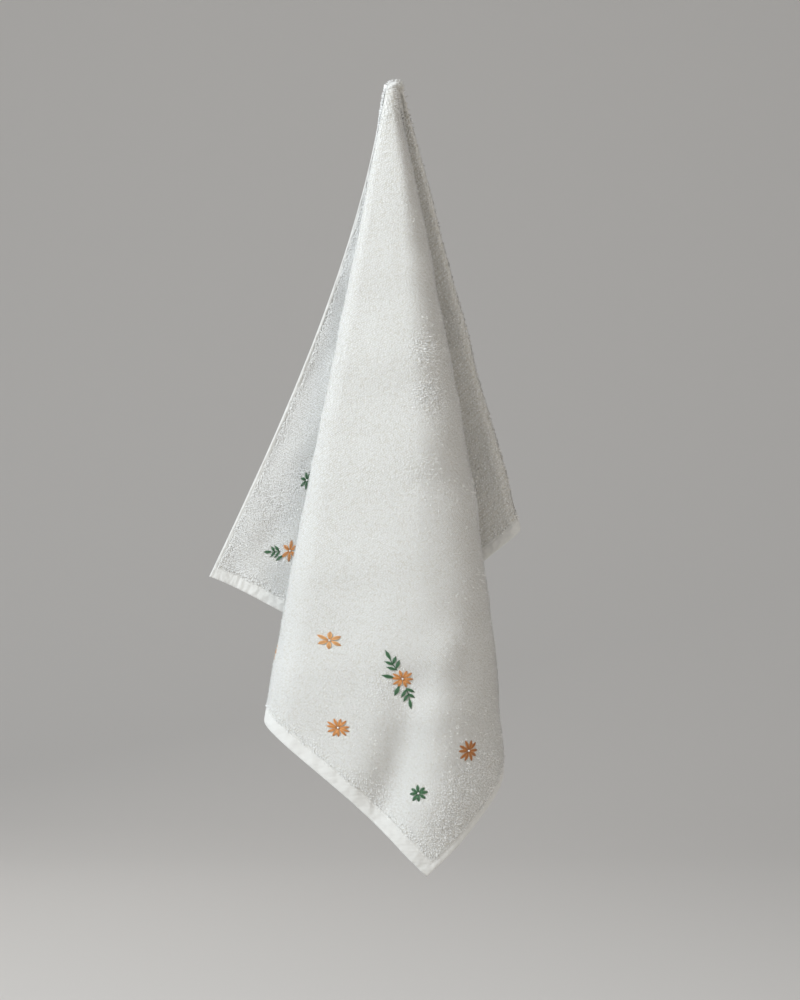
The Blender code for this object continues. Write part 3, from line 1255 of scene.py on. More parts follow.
@dataclass(frozen=True)
class Pile:
    """The loops of the pile: bent strips where they lie and stubs where they stand.

    Attributes:
        pitch: Distance between loops along the threads.
        height: Height of a loop over the cloth.
        breadth: Width of a loop.
        ground: Half the cloth's thickness, where the loops start.
        seed: Seed of their unevenness.
        row_turns: Turns per metre, in radians, from one high row of loops to the next.
        crown: How far from the hanging point the bunched hem hides among the loops.
        crown_fuzz: Distances between which the loops stop standing up.
        stray: Share of the loops that stand up elsewhere.
        coarser: How much larger the loops are that don't show from the front.
        hem_ruffle: How far from a hem the loops are ruffled.
        tousles: Patches where the pile is ruffled.
    """

    pitch: float = 0.00122
    height: float = 0.00095
    breadth: float = 0.00092
    ground: float = 0.0009
    seed: int = 7
    row_turns: float = 2.0 * math.pi / 0.00244
    crown: float = 0.050
    crown_fuzz: tuple[float, float] = (0.010, 0.045)
    stray: float = 0.05
    coarser: float = 1.55
    hem_ruffle: float = 0.0045
    tousles: tuple[Tousle, ...] = ()

    def _places(
        self, cloth: FlatCloth, pitch: float, random: np.random.Generator
    ) -> tuple[np.ndarray, np.ndarray]:
        """Places of the loops on the flat cloth, in uneven rows along its threads.

        Args:
            cloth: The flat cloth.
            pitch: Distance between loops.
            random: Source of their unevenness.

        Returns:
            Their u and v.
        """
        u = np.arange(-cloth.reach_right, cloth.reach_left, pitch)
        v = np.arange(0.0, cloth.width, pitch)
        u, v = (a.ravel() for a in np.meshgrid(u, v))
        u = u + random.normal(0.0, 0.15 * pitch, u.shape)
        v = v + random.normal(0.0, 0.15 * pitch, v.shape)
        wander = 0.0007 * (np.sin(u * 610.0) + np.sin(v * 570.0 + 1.0) + np.sin((u + v) * 230.0))
        bunched = np.hypot(u, v) < np.where(v > 0.15 * u, self.crown, 0.3 * self.crown) + 6.0 * wander
        kept = (cloth.hem_depth(u, v) > 0.0006 + wander) | bunched
        return u[kept], v[kept]

    def _seen(
        self,
        places: tuple[np.ndarray, np.ndarray],
        grid: ClothGrid,
        exposure: Exposure,
        side: int,
        front: bool,
        bare: "list[Motif]",
    ) -> tuple[np.ndarray, np.ndarray, np.ndarray, np.ndarray]:
        """Keeps the loops of one face that can be seen and that have room.

        Args:
            places: Their u and v.
            grid: The cloth's points.
            exposure: What can be seen.
            side: 1 for the outer face and -1 for the inner one.
            front: True for what shows from the front, False for what shows only from elsewhere.
            bare: Embroidery that leaves no room for loops.

        Returns:
            The u, v, line and row numbers of the kept loops.
        """
        u, v = places
        line, row = grid.coordinates(u, v)
        seen = exposure.at(exposure.front[side], line, row)
        if front:
            kept = (seen > 0.02) | (np.hypot(u, v) < self.crown)
        else:
            kept = exposure.at(exposure.round[side], line, row) * (seen < 0.25) > 0.3
        for motif in bare if side > 0 else ():
            kept &= ~motif.covers(u, v)
        return u[kept], v[kept], line[kept], row[kept]

    def _ruffle(self, cloth: FlatCloth, u: np.ndarray, v: np.ndarray) -> np.ndarray:
        """How ruffled the pile is.

        Args:
            cloth: The flat cloth.
            u: Places along the held edge.
            v: Places away from it.

        Returns:
            The amounts, 0 where the pile is smooth.
        """
        ruffle = np.zeros_like(u)
        for patch in self.tousles:
            ruffle += patch.amount * np.exp(-((u - patch.u) ** 2 + (v - patch.v) ** 2) / patch.radius**2)
        return ruffle + 0.5 * np.exp(-((cloth.hem_depth(u, v) / self.hem_ruffle) ** 2))

    @staticmethod
    def _stance(
        grid: ClothGrid, line: np.ndarray, row: np.ndarray, side: int
    ) -> tuple[np.ndarray, np.ndarray, np.ndarray, np.ndarray]:
        """Where the loops stand and which ways they can lean.

        Args:
            grid: The cloth's points.
            line: Their line numbers.
            row: Their row numbers.
            side: 1 for the outer face and -1 for the inner one.

        Returns:
            The places, the ways down the cloth, across it and out of it.
        """
        origin = grid.sample(grid.points, line, row)
        normal = grid.sample(grid.normals, line, row) * side
        normal /= np.maximum(np.linalg.norm(normal, axis=-1, keepdims=True), 1e-9)
        down = grid.sample(grid.down, line, row)
        down -= normal * (down * normal).sum(-1, keepdims=True)
        down /= np.maximum(np.linalg.norm(down, axis=-1, keepdims=True), 1e-9)
        return origin, down, np.cross(normal, down), normal

    def _strip(self) -> np.ndarray:
        """One loop: three cross-sections of two points, as shares of its size.

        Returns:
            Points with axes along the lean, across it and up.
        """
        work = bmesh.new()
        bmesh.ops.create_grid(work, x_segments=2, y_segments=1, size=0.5)
        profile = {-0.5: (0.0, 0.55, -0.25), 0.0: (0.40, 1.0, 0.85), 0.5: (1.15, 0.60, 0.45)}
        points = np.zeros((3, 2, 3))
        for vert in work.verts:
            along, breadth, up = profile[round(vert.co.x, 1)]
            points[int(round((vert.co.x + 0.5) * 2)), int(vert.co.y > 0)] = (along, breadth * vert.co.y, up)
        work.free()
        return points

    def _tuft(self) -> tuple[np.ndarray, np.ndarray]:
        """One loop that stands up: a stub with four sides and a small top.

        Returns:
            Points with axes along the lean, across it and up, as shares of its size, and the quads.
        """
        work = bmesh.new()
        bmesh.ops.create_cone(work, cap_ends=True, segments=4, radius1=0.50, radius2=0.26, depth=1.0)
        bmesh.ops.delete(work, geom=[f for f in work.faces if f.normal.z < -0.9], context="FACES_ONLY")
        work.verts.index_update()
        points = np.array([tuple(v.co) for v in work.verts]) + (0.0, 0.0, 0.5)
        quads = np.array([[v.index for v in f.verts] for f in work.faces])
        work.free()
        return points, quads

    def _lying(self, loops: Loops, grain_and_shade: float) -> LoopForm:
        """Strips for the loops that lie along the cloth.

        Args:
            loops: The loops.
            grain_and_shade: How uneven they are and how much painted shade they take, from 0 to 1.

        Returns:
            The strips.
        """
        along, across, up = self._strip().reshape(-1, 3).T
        size = loops.size[:, None]
        reach = 0.85 * np.maximum(size, 0.9 * self.height)
        one = np.ones((len(size), len(up)))
        over = (0.24 + 0.20 * grain_and_shade) * up * (along > 0.1) * one
        return LoopForm(
            places=(reach * along, loops.breadth[:, None] * across, self.ground + size * up),
            facing=(over, loops.tilt[:, None] * np.sign(across), one),
            # Painted shade: the foot of each lying loop is darker, the more so where the pile is in shade.
            rise=np.where(up > 0.0, 1.0, 0.94 - 0.84 * grain_and_shade),
            quads=np.array(((0, 2, 3, 1), (2, 4, 5, 3))),
        )

    def _standing(self, loops: Loops, grain_and_shade: float) -> LoopForm:
        """Stubs for the loops that stand up.

        Args:
            loops: The loops.
            grain_and_shade: How uneven they are and how much painted shade they take, from 0 to 1.

        Returns:
            The stubs.
        """
        points, quads = self._tuft()
        along, across, up = points.T
        size, near = loops.size[:, None], loops.near[:, None]
        bend = 0.45 * size * up**2 * (1.0 - 0.6 * near)
        wide = loops.breadth[:, None] * (1.0 - 0.32 * near)
        one = np.ones((len(size), len(up)))
        return LoopForm(
            places=(wide * along + bend, wide * across, self.ground + size * up),
            facing=(along * 2.0 * one, across * 2.0 * one, (0.25 + 0.9 * up) * one),
            # Painted shade: each standing stub darkens towards its foot.
            rise=1.0 - (0.08 + 0.60 * grain_and_shade) * (1.0 - up),
            quads=quads,
        )

    def _mesh(self, name: str, loops: Loops, grain_and_shade: float) -> bpy.types.Mesh:
        """Joins all loops of a face in one mesh.

        Args:
            name: The mesh's name.
            loops: The loops.
            grain_and_shade: How uneven they are and how much painted shade they take, from 0 to 1.

        Returns:
            The mesh, with the tone of each point.
        """
        points, quads, facing, tone = [], [], [], []
        start = 0
        for chosen, make in ((~loops.stands, self._lying), (loops.stands, self._standing)):
            mine = loops.only(chosen)
            form = make(mine, grain_and_shade)
            local, look = (np.stack(part, -1) for part in (form.places, form.facing))
            turned = np.einsum("npk,nkx->npx", local, mine.axes)
            points.append((mine.origin[:, None] + turned).reshape(-1, 3))
            facing.append(np.einsum("npk,nkx->npx", look, mine.axes).reshape(-1, 3))
            # Tone of each point: painted shade towards the roots and on the lower rows, times a random
            # tone.
            tone.append((form.rise * (1.0 - mine.shade[:, None])).ravel())
            count, corners = local.shape[:2]
            numbers = start + np.arange(count)[:, None, None] * corners + form.quads[None]
            quads.append(numbers.reshape(-1, 4))
            start += count * corners
        mesh = new_mesh(name, np.concatenate(points), np.concatenate(quads))
        facing = np.concatenate(facing)
        facing = facing / np.linalg.norm(facing, axis=-1, keepdims=True)
        mesh.normals_split_custom_set_from_vertices(facing.tolist())
        add_attribute(mesh, "tone", np.concatenate(tone))
        LOG.info("%s: %d triangles", name, 2 * len(mesh.polygons))
        return mesh

    def build(
        self,
        name: str,
        grid: ClothGrid,
        exposure: Exposure,
        side: int,
        front: bool,
        material: bpy.types.Material,
        bare: "list[Motif]",
        columns: tuple[float, float] = (0.0, 180.0),
        grain_and_shade: float = 0.15,
    ) -> bpy.types.Object | None:
        """Makes the loops of one face that can be seen.

        Args:
            name: The piece's name.
            grid: The cloth's points.
            exposure: What can be seen.
            side: 1 for the outer face and -1 for the inner one.
            front: True for what shows from the front, False for what shows only from elsewhere.
            material: The pile's material.
            bare: Embroidery that leaves no room for loops.
            columns: Flat angles between which loops are made.
            grain_and_shade: How uneven the loops are and how much painted shade they take, from 0 to 1.

        Returns:
            The piece, or None where nothing shows.
        """
        random = np.random.default_rng(self.seed + side)
        scale = (1.0 if front else self.coarser) * (1.0 + 0.30 * grain_and_shade)
        u, v = self._places(grid.shape.cloth, self.pitch * scale, random)
        angle = np.degrees(np.arctan2(v, u))
        kept = (angle >= columns[0]) & (angle < columns[1])
        u, v, line, row = self._seen((u[kept], v[kept]), grid, exposure, side, front, bare)
        if not len(u):
            return None
        ruffle = self._ruffle(grid.shape.cloth, u, v)
        origin, down, across, normal = self._stance(grid, line, row, side)
        near = 1.0 - ease(np.hypot(u, v), *self.crown_fuzz)
        stands = random.random(u.shape) < self.stray + 0.9 * near + 0.55 * ruffle
        spread = 0.16 + 0.50 * grain_and_shade + 1.5 * ruffle + 0.6 * near
        drift = 0.5 * np.sin(u * 95.0 + 2.0 * np.sin(v * 61.0)) + 0.5 * np.sin(v * 83.0 + 1.0)
        way = 0.6 * drift + random.normal(0.0, 1.0, u.shape) * spread
        lean = down * np.cos(way)[:, None] + across * np.sin(way)[:, None]
        uneven = 0.08 + 0.16 * grain_and_shade + 0.10 * near
        size = self.height * scale**0.5 * (1.0 + uneven * random.normal(0.0, 1.0, u.shape) + 0.55 * ruffle)
        rows = np.sin(u * self.row_turns + 0.9 * np.sin(v * 120.0)) * np.exp(-2.0 * ruffle)
        size *= 1.0 + (0.16 + 0.24 * grain_and_shade) * rows
        size *= (1.0 + 0.50 * near) * (1.0 + 0.30 * stands)
        breadth = self.breadth * scale * (1.0 + 0.12 * random.normal(0.0, 1.0, u.shape))
        # A random tone plus painted shade on the lower rows of loops, both stronger on the shaded right
        # wing.
        shade = (0.02 + 0.33 * grain_and_shade) * random.random(u.shape)
        shade = shade + (0.02 + 0.72 * grain_and_shade) * np.maximum(-rows, 0.0)
        loops = Loops(
            origin=origin,
            axes=np.stack([lean, np.cross(normal, lean), normal], 1),
            size=np.clip(size, 0.5 * self.height, 2.6 * self.height),
            breadth=breadth,
            near=near,
            tilt=0.06 + 0.12 * grain_and_shade + 0.22 * np.clip(ruffle, 0.0, 1.0),
            shade=shade,
            stands=stands,
        )
        return add_object(name, self._mesh(name, loops, grain_and_shade), material)


class Thread(Enum):
    """The colours of embroidery thread."""

    PALE_ORANGE = "pale_orange"
    ORANGE = "orange"
    RUST = "rust"
    GREEN = "green"
    WHITE = "white"


# Each thread: its colour with a painted highlight, then with painted shade.
THREADS = {
    Thread.PALE_ORANGE: ThreadFinish(
        "thread_pale_orange", (0.76, 0.43, 0.18, 1.0), (0.46, 0.17, 0.040, 1.0)
    ),
    Thread.ORANGE: ThreadFinish("thread_orange", (0.68, 0.31, 0.095, 1.0), (0.32, 0.10, 0.018, 1.0)),
    Thread.RUST: ThreadFinish("thread_rust", (0.50, 0.20, 0.050, 1.0), (0.24, 0.070, 0.014, 1.0)),
    Thread.GREEN: ThreadFinish("thread_green", (0.052, 0.165, 0.070, 1.0), (0.014, 0.055, 0.024, 1.0)),
    Thread.WHITE: ThreadFinish("thread_white", (0.82, 0.82, 0.80, 1.0), (0.62, 0.61, 0.58, 1.0)),
}


def tube_quads(sides: int, rings: int) -> np.ndarray:
    """Faces round an open tube.

    Args:
        sides: Points in each ring.
        rings: Cross-sections, one after another.

    Returns:
        Four point numbers for each face.
    """
    ring = np.arange(sides)
    after = (ring + 1) % sides
    near = np.stack([ring, after], -1)
    return np.concatenate(
        [np.concatenate([near + sides * i, near[:, ::-1] + sides * (i + 1)], -1) for i in range(rings - 1)]
    )


@dataclass(frozen=True)
class Strand:
    """One stitch of thread lying on the cloth.

    Attributes:
        start: Where it comes up, from the motif's centre.
        end: Where it goes down.
        bow: How far it bends to its left.
        radius: Its radius.
        tone: 0 for the painted shade colour and 1 for the painted highlight one.
    """

    start: tuple[float, float]
    end: tuple[float, float]
    bow: float
    radius: float
    tone: float


@dataclass(frozen=True)
class Petal:
    """A petal or a leaf, filled with stitches that run along it.

    Attributes:
        length: From base to tip.
        breadth: Where it is widest.
        strands: Stitches side by side.
        pointed: Makes the tip sharper.
    """

    length: float
    breadth: float
    strands: int = 5
    pointed: float = 1.0

    def stitches(self, base: tuple[float, float], heading: float) -> list[Strand]:
        """The petal's stitches.

        Args:
            base: Its base, from the motif's centre.
            heading: The way that it points, in degrees.

        Returns:
            The stitches.
        """
        way = math.radians(heading)
        along, left = (math.cos(way), math.sin(way)), (-math.sin(way), math.cos(way))
        found = []
        half = 0.5 * self.breadth
        for i in range(self.strands):
            place = 2.0 * i / (self.strands - 1) - 1.0
            reach = self.length * (1.0 - 0.16 * self.pointed * place**2)
            inset = 0.03 * self.length * place**2
            ends = []
            tip = (0.55 - 0.30 * self.pointed) * half * place
            for run, out in ((inset, 0.22 * half * place), (reach, tip)):
                x = base[0] + along[0] * run + left[0] * out
                y = base[1] + along[1] * run + left[1] * out
                ends.append((x, y))
            radius = 0.66 * half / self.strands + 0.00015
            # Painted highlight on the outer stitches, painted shade on the inner ones.
            found.append(Strand(ends[0], ends[1], 0.62 * half * place, radius, 0.25 + 0.75 * abs(place)))
        return found


SPRAY_REACH = 0.035  # no stitch is further than this from its motif's centre
BARE_REACH = 0.00095  # no loops nearer than this to a stitch
PETAL_FOOT = 0.0007  # from a flower's centre to where its petals start
LEAF = (0.0082, 0.0025, 5, 0.9)  # length, breadth, stitches and pointedness of a single leaf
SPRIG_STEM = 0.0100
SPRIG_LEAVES = (  # place along the stem, angle from it in degrees and length of each leaf
    (0.0006, 44.0, 0.0070),
    (0.0016, -42.0, 0.0072),
    (0.0050, 38.0, 0.0064),
    (0.0058, -42.0, 0.0064),
    (0.0092, -4.0, 0.0086),
)


@dataclass(frozen=True)
class Motif:
    """An embroidered flower, with or without sprigs of leaves.

    Attributes:
        u: Place of its centre along the held edge.
        v: Place away from it.
        turn: Direction of its first petal on the flat cloth, in degrees.
        thread: Colour of the petals.
        petals: How many there are.
        size: From the centre to a petal's tip.
        breadth: Breadth of a petal.
        sprigs: Way, distance of its foot and size of each sprig.
        leaves: Way and distance of the foot of each single leaf.
    """

    u: float
    v: float
    turn: float
    thread: Thread
    petals: int
    size: float
    breadth: float
    sprigs: tuple[tuple[float, float, float], ...] = ()
    leaves: tuple[tuple[float, float], ...] = ()

    def covers(self, u: np.ndarray, v: np.ndarray) -> np.ndarray:
        """Which places lie under the stitches.

        Args:
            u: Places along the held edge.
            v: Places away from it.

        Returns:
            True where a place is covered.
        """
        found = np.zeros(u.shape, bool)
        near = np.flatnonzero(np.hypot(u - self.u, v - self.v) < SPRAY_REACH)
        if not len(near):
            return found
        x, y = u[near] - self.u, v[near] - self.v
        hit = np.zeros(len(near), bool)
        for strands in self.stitches().values():
            for strand in strands:
                (ax, ay), (bx, by) = strand.start, strand.end
                run = (bx - ax) ** 2 + (by - ay) ** 2 + 1e-12
                share = np.clip(((x - ax) * (bx - ax) + (y - ay) * (by - ay)) / run, 0.0, 1.0)
                gap = np.hypot(x - ax - share * (bx - ax), y - ay - share * (by - ay))
                hit |= gap < BARE_REACH
        found[near[hit]] = True
        return found

    def stitches(self) -> dict[Thread, list[Strand]]:
        """All stitches of the motif.

        Returns:
            The stitches of each colour.
        """
        found: dict[Thread, list[Strand]] = {Thread.GREEN: []}
        flower = found.setdefault(self.thread, [])
        for i in range(self.petals):
            uneven = math.sin(2.3 * i + self.turn)
            heading = self.turn + 360.0 * i / self.petals + 4.0 * uneven
            way = math.radians(heading)
            base = (PETAL_FOOT * math.cos(way), PETAL_FOOT * math.sin(way))
            pointed = 0.35 if self.petals > 6 else 0.6
            petal = Petal(self.size * (0.93 + 0.05 * uneven), self.breadth, 4, pointed)
            flower += petal.stitches(base, heading)
        green = found[Thread.GREEN]
        for heading, distance in self.leaves:
            way = math.radians(self.turn + heading)
            base = (distance * math.cos(way), distance * math.sin(way))
            green += Petal(*LEAF).stitches(base, self.turn + heading)
        for heading, distance, scale in self.sprigs:
            green += self._sprig(self.turn + heading, distance, scale)
        return found

    @staticmethod
    def _sprig(heading: float, distance: float, scale: float) -> list[Strand]:
        """A stem with pairs of leaves and one leaf at its end.

        Args:
            heading: The way that it points, in degrees.
            distance: From the motif's centre to its foot.
            scale: Size of the sprig.

        Returns:
            The stitches.
        """
        way = math.radians(heading)
        along = (math.cos(way), math.sin(way))
        found = []
        for place, angle, length in SPRIG_LEAVES:
            run = distance + place * scale
            base = (along[0] * run, along[1] * run)
            found += Petal(length * scale, 0.0020 * scale, 4, 0.9).stitches(base, heading + angle)
        end = distance + SPRIG_STEM * scale
        foot = (along[0] * distance, along[1] * distance)
        found.append(Strand(foot, (along[0] * end, along[1] * end), 0.0003, 0.00033, 0.3))
        return found


@dataclass(frozen=True)
class Embroidery:
    """Every motif on the cloth's outer face.

    Attributes:
        motifs: The flowers and sprigs.
        base: Height of the stitches' ends over the middle surface.
        rise: How much higher their middles are.
        knot: Radius of a flower's white centre.
    """

    motifs: tuple[Motif, ...]
    base: float = 0.00115
    rise: float = 0.00075
    knot: float = 0.00085

    def _tube(self, sides: int, rings: int) -> np.ndarray:
        """A straight stitch of unit length and radius with rounded ends.

        Args:
            sides: Points round it.
            rings: Cross-sections.

        Returns:
            Its points, by ring and side: share along it, sideways and up.
        """
        work = bmesh.new()
        bmesh.ops.create_cone(work, segments=sides, radius1=1.0, radius2=1.0, depth=1.0)
        ring = sorted(
            {(round(v.co.x, 5), round(v.co.y, 5)) for v in work.verts}, key=lambda p: math.atan2(p[1], p[0])
        )
        work.free()
        share = np.linspace(0.0, 1.0, rings)
        swell = np.clip(np.sin(math.pi * np.clip(share, 0.02, 0.98)), 0.0, 1.0) ** 0.35
        points = np.zeros((rings, sides, 3))
        points[..., 0] = share[:, None]
        points[..., 1:] = np.array(ring)[None] * swell[:, None, None]
        return points

    def _colour(
        self, thread: Thread, grid: ClothGrid, finish: ThreadFinish
    ) -> bpy.types.Object | None:
        """All stitches of one colour.

        Args:
            thread: The colour.
            grid: The cloth's points.
            finish: The thread's finish.

        Returns:
            The piece, or None where the colour isn't used.
        """
        sides, rings = 6, 7
        tube = self._tube(sides, rings)
        u, v, height, tones = [], [], [], []
        for motif in self.motifs:
            for strand in motif.stitches().get(thread, []):
                (ax, ay), (bx, by) = strand.start, strand.end
                length = math.hypot(bx - ax, by - ay)
                along = np.array(((bx - ax) / length, (by - ay) / length))
                left = np.array((-along[1], along[0]))
                share = tube[..., 0]
                out = tube[..., 1] * strand.radius + strand.bow * np.sin(math.pi * share**1.25)
                x = ax + along[0] * share * length + left[0] * out
                y = ay + along[1] * share * length + left[1] * out
                up = self.base + self.rise * np.sin(math.pi * share) ** 0.7 + tube[..., 2] * strand.radius
                u.append(motif.u + x)
                v.append(motif.v + y)
                height.append(up)
                # Painted shade towards the ends of each stitch, where it dips into the cloth.
                tones.append(np.full(share.shape, strand.tone) * (0.8 + 0.2 * np.sin(math.pi * share)))
        if not u:
            return None
        flat_u, flat_v, up = (np.concatenate([a.ravel() for a in part]) for part in (u, v, height))
        points = grid.on_face(flat_u, flat_v, up)
        caps = np.array([(0, 1, 2, 3), (0, 3, 4, 5)])
        one = np.concatenate([tube_quads(sides, rings), caps[:, ::-1], caps + sides * (rings - 1)])
        quads = (np.arange(len(u))[:, None, None] * sides * rings + one[None]).reshape(-1, 4)
        name = "embroidery_" + thread.value
        mesh = new_mesh(name, points, quads)
        add_attribute(mesh, "tone", np.concatenate([a.ravel() for a in tones]))
        return add_object(name, mesh, finish.material())

    def _knots(self, grid: ClothGrid, finish: ThreadFinish) -> bpy.types.Object:
        """The white centres of the flowers.

        Args:
            grid: The cloth's points.
            finish: The thread's finish.

        Returns:
            The piece.
        """
        work = bmesh.new()
        for motif in self.motifs:
            place = (np.array([value]) for value in (motif.u, motif.v, self.base + self.rise))
            centre = grid.on_face(*place)[0]
            made = bmesh.ops.create_icosphere(work, subdivisions=2, radius=self.knot)
            bmesh.ops.translate(work, verts=made["verts"], vec=Vector(centre))
        mesh = bpy.data.meshes.new("embroidery_knots")
        work.to_mesh(mesh)
        work.free()
        mesh.shade_smooth()
        add_attribute(mesh, "tone", np.ones(len(mesh.vertices)))
        return add_object("embroidery_knots", mesh, finish.material())

    def build(self, grid: ClothGrid) -> list[bpy.types.Object]:
        """Makes every colour of stitches and the knots.

        Args:
            grid: The cloth's points.

        Returns:
            The pieces.
        """
        colours = [thread for thread in THREADS if thread != Thread.WHITE]
        made = [self._colour(thread, grid, THREADS[thread]) for thread in colours]
        return [piece for piece in made if piece] + [self._knots(grid, THREADS[Thread.WHITE])]


@dataclass(frozen=True)
class HemStitches:
    """The sewn line along the inner side of every hem, on both faces.

    Attributes:
        length: Length of a stitch.
        gap: From one stitch to the next.
        radius: Radius of the thread.
        inset: From a hem's inner line to the stitches.
        height: Height over the cloth's middle surface.
        rise: How much higher the middle of a stitch is.
        clear: The held edge has no stitches nearer than this to the hanging point.
    """

    length: float = 0.0024
    gap: float = 0.0008
    radius: float = 0.00024
    inset: float = 0.0012
    height: float = 0.00078
    rise: float = 0.00025
    clear: float = 0.30

    def _lines(self, cloth: FlatCloth) -> list[tuple[tuple[float, float], tuple[float, float]]]:
        """Start and end of each sewn line on the flat cloth.

        Args:
            cloth: The flat cloth.

        Returns:
            The lines.
        """
        end, side = cloth.end_hem - self.inset, cloth.side_hem - self.inset
        left, right, far = cloth.reach_left - end, -cloth.reach_right + end, cloth.width - side
        clear = self.clear
        return [
            ((left, side), (left, far)),
            ((right, side), (right, far)),
            ((right, far), (left, far)),
            ((clear, side), (left, side)),
            ((right, side), (-clear, side)),
        ]

    def build(self, grid: ClothGrid, material: bpy.types.Material) -> bpy.types.Object:
        """Makes the stitches.

        Args:
            grid: The cloth's points.
            material: The thread's material.

        Returns:
            The piece.
        """
        places = []
        step = self.length + self.gap
        for (ua, va), (ub, vb) in self._lines(grid.shape.cloth):
            run = math.hypot(ub - ua, vb - va)
            for i in range(int(run / step)):
                along = ((ub - ua) / run, (vb - va) / run)
                places.append((ua + along[0] * i * step, va + along[1] * i * step, *along))
        start = np.array(places)
        sides, share = 5, np.array((0.0, 0.3, 0.7, 1.0))
        turn = np.arange(sides) * 2.0 * math.pi / sides
        swell = np.array((0.45, 1.0, 1.0, 0.45))[:, None] * self.radius
        out, up = swell * np.cos(turn), swell * np.sin(turn)
        lift = (self.rise * np.sin(math.pi * share))[:, None] + up
        first_u, first_v, along_u, along_v = (part[:, None, None] for part in start.T)
        run = share[:, None] * self.length
        u = first_u + along_u * run - along_v * out
        v = first_v + along_v * run + along_u * out
        height = np.broadcast_to(self.height + lift, u.shape)
        faces = [grid.on_face(u.ravel(), v.ravel(), height.ravel(), side) for side in (1, -1)]
        one = tube_quads(sides, len(share))
        count = 2 * len(start)
        quads = (np.arange(count)[:, None, None] * sides * len(share) + one[None]).reshape(-1, 4)
        half = len(quads) // 2
        quads[half:] = quads[half:, ::-1]
        mesh = new_mesh("hem_stitches", np.concatenate(faces), quads)
        add_attribute(mesh, "tone", np.full(len(mesh.vertices), 0.9))
        return add_object("hem_stitches", mesh, material)


MOTIFS = (
    Motif(0.362, 0.273, 42.0, Thread.PALE_ORANGE, 6, 0.0071, 0.0023),
    Motif(0.408, 0.321, 15.0, Thread.ORANGE, 11, 0.0071, 0.0014),
    Motif(0.359, 0.397, 30.0, Thread.RUST, 10, 0.0084, 0.0018),
    Motif(0.406, 0.394, 8.0, Thread.GREEN, 8, 0.0062, 0.0018),
    Motif(
        0.353, 0.322, 24.0, Thread.ORANGE, 10, 0.0068, 0.0015,
        sprigs=((226.0, 0.0072, 0.98), (36.0, 0.0072, 0.98)), leaves=((277.0, 0.0050), (0.0, 0.0058)),
    ),
    Motif(0.400, 0.250, 5.0, Thread.PALE_ORANGE, 6, 0.0080, 0.0032),
    Motif(0.339, 0.065, 20.0, Thread.GREEN, 7, 0.0074, 0.0020),
    Motif(
        0.396, 0.080, 22.0, Thread.ORANGE, 6, 0.0092, 0.0028,
        sprigs=((272.0, 0.0100, 1.10), (70.0, 0.0105, 0.92)), leaves=((300.0, 0.0080),),
    ),
    Motif(0.398, 0.150, 12.0, Thread.RUST, 10, 0.0076, 0.0019),
    Motif(0.345, 0.205, 20.0, Thread.GREEN, 8, 0.0070, 0.0020),
)

TOUSLES = (
    Tousle(0.154, 0.160, 0.011, 1.5),
    Tousle(0.179, 0.185, 0.011, 1.3),
    Tousle(0.226, 0.221, 0.012, 0.5),
    Tousle(0.388, 0.420, 0.016, 1.0),
    Tousle(0.412, 0.428, 0.013, 0.8),
    Tousle(0.362, 0.416, 0.014, 0.7),
    Tousle(0.367, 0.320, 0.012, 0.5),
    Tousle(0.423, 0.372, 0.010, 0.7),
    Tousle(0.369, 0.041, 0.020, 0.6),
    Tousle(-0.305, 0.113, 0.018, 0.5),
    Tousle(-0.190, 0.090, 0.030, 0.35),
    Tousle(-0.300, 0.150, 0.035, 0.35),
)


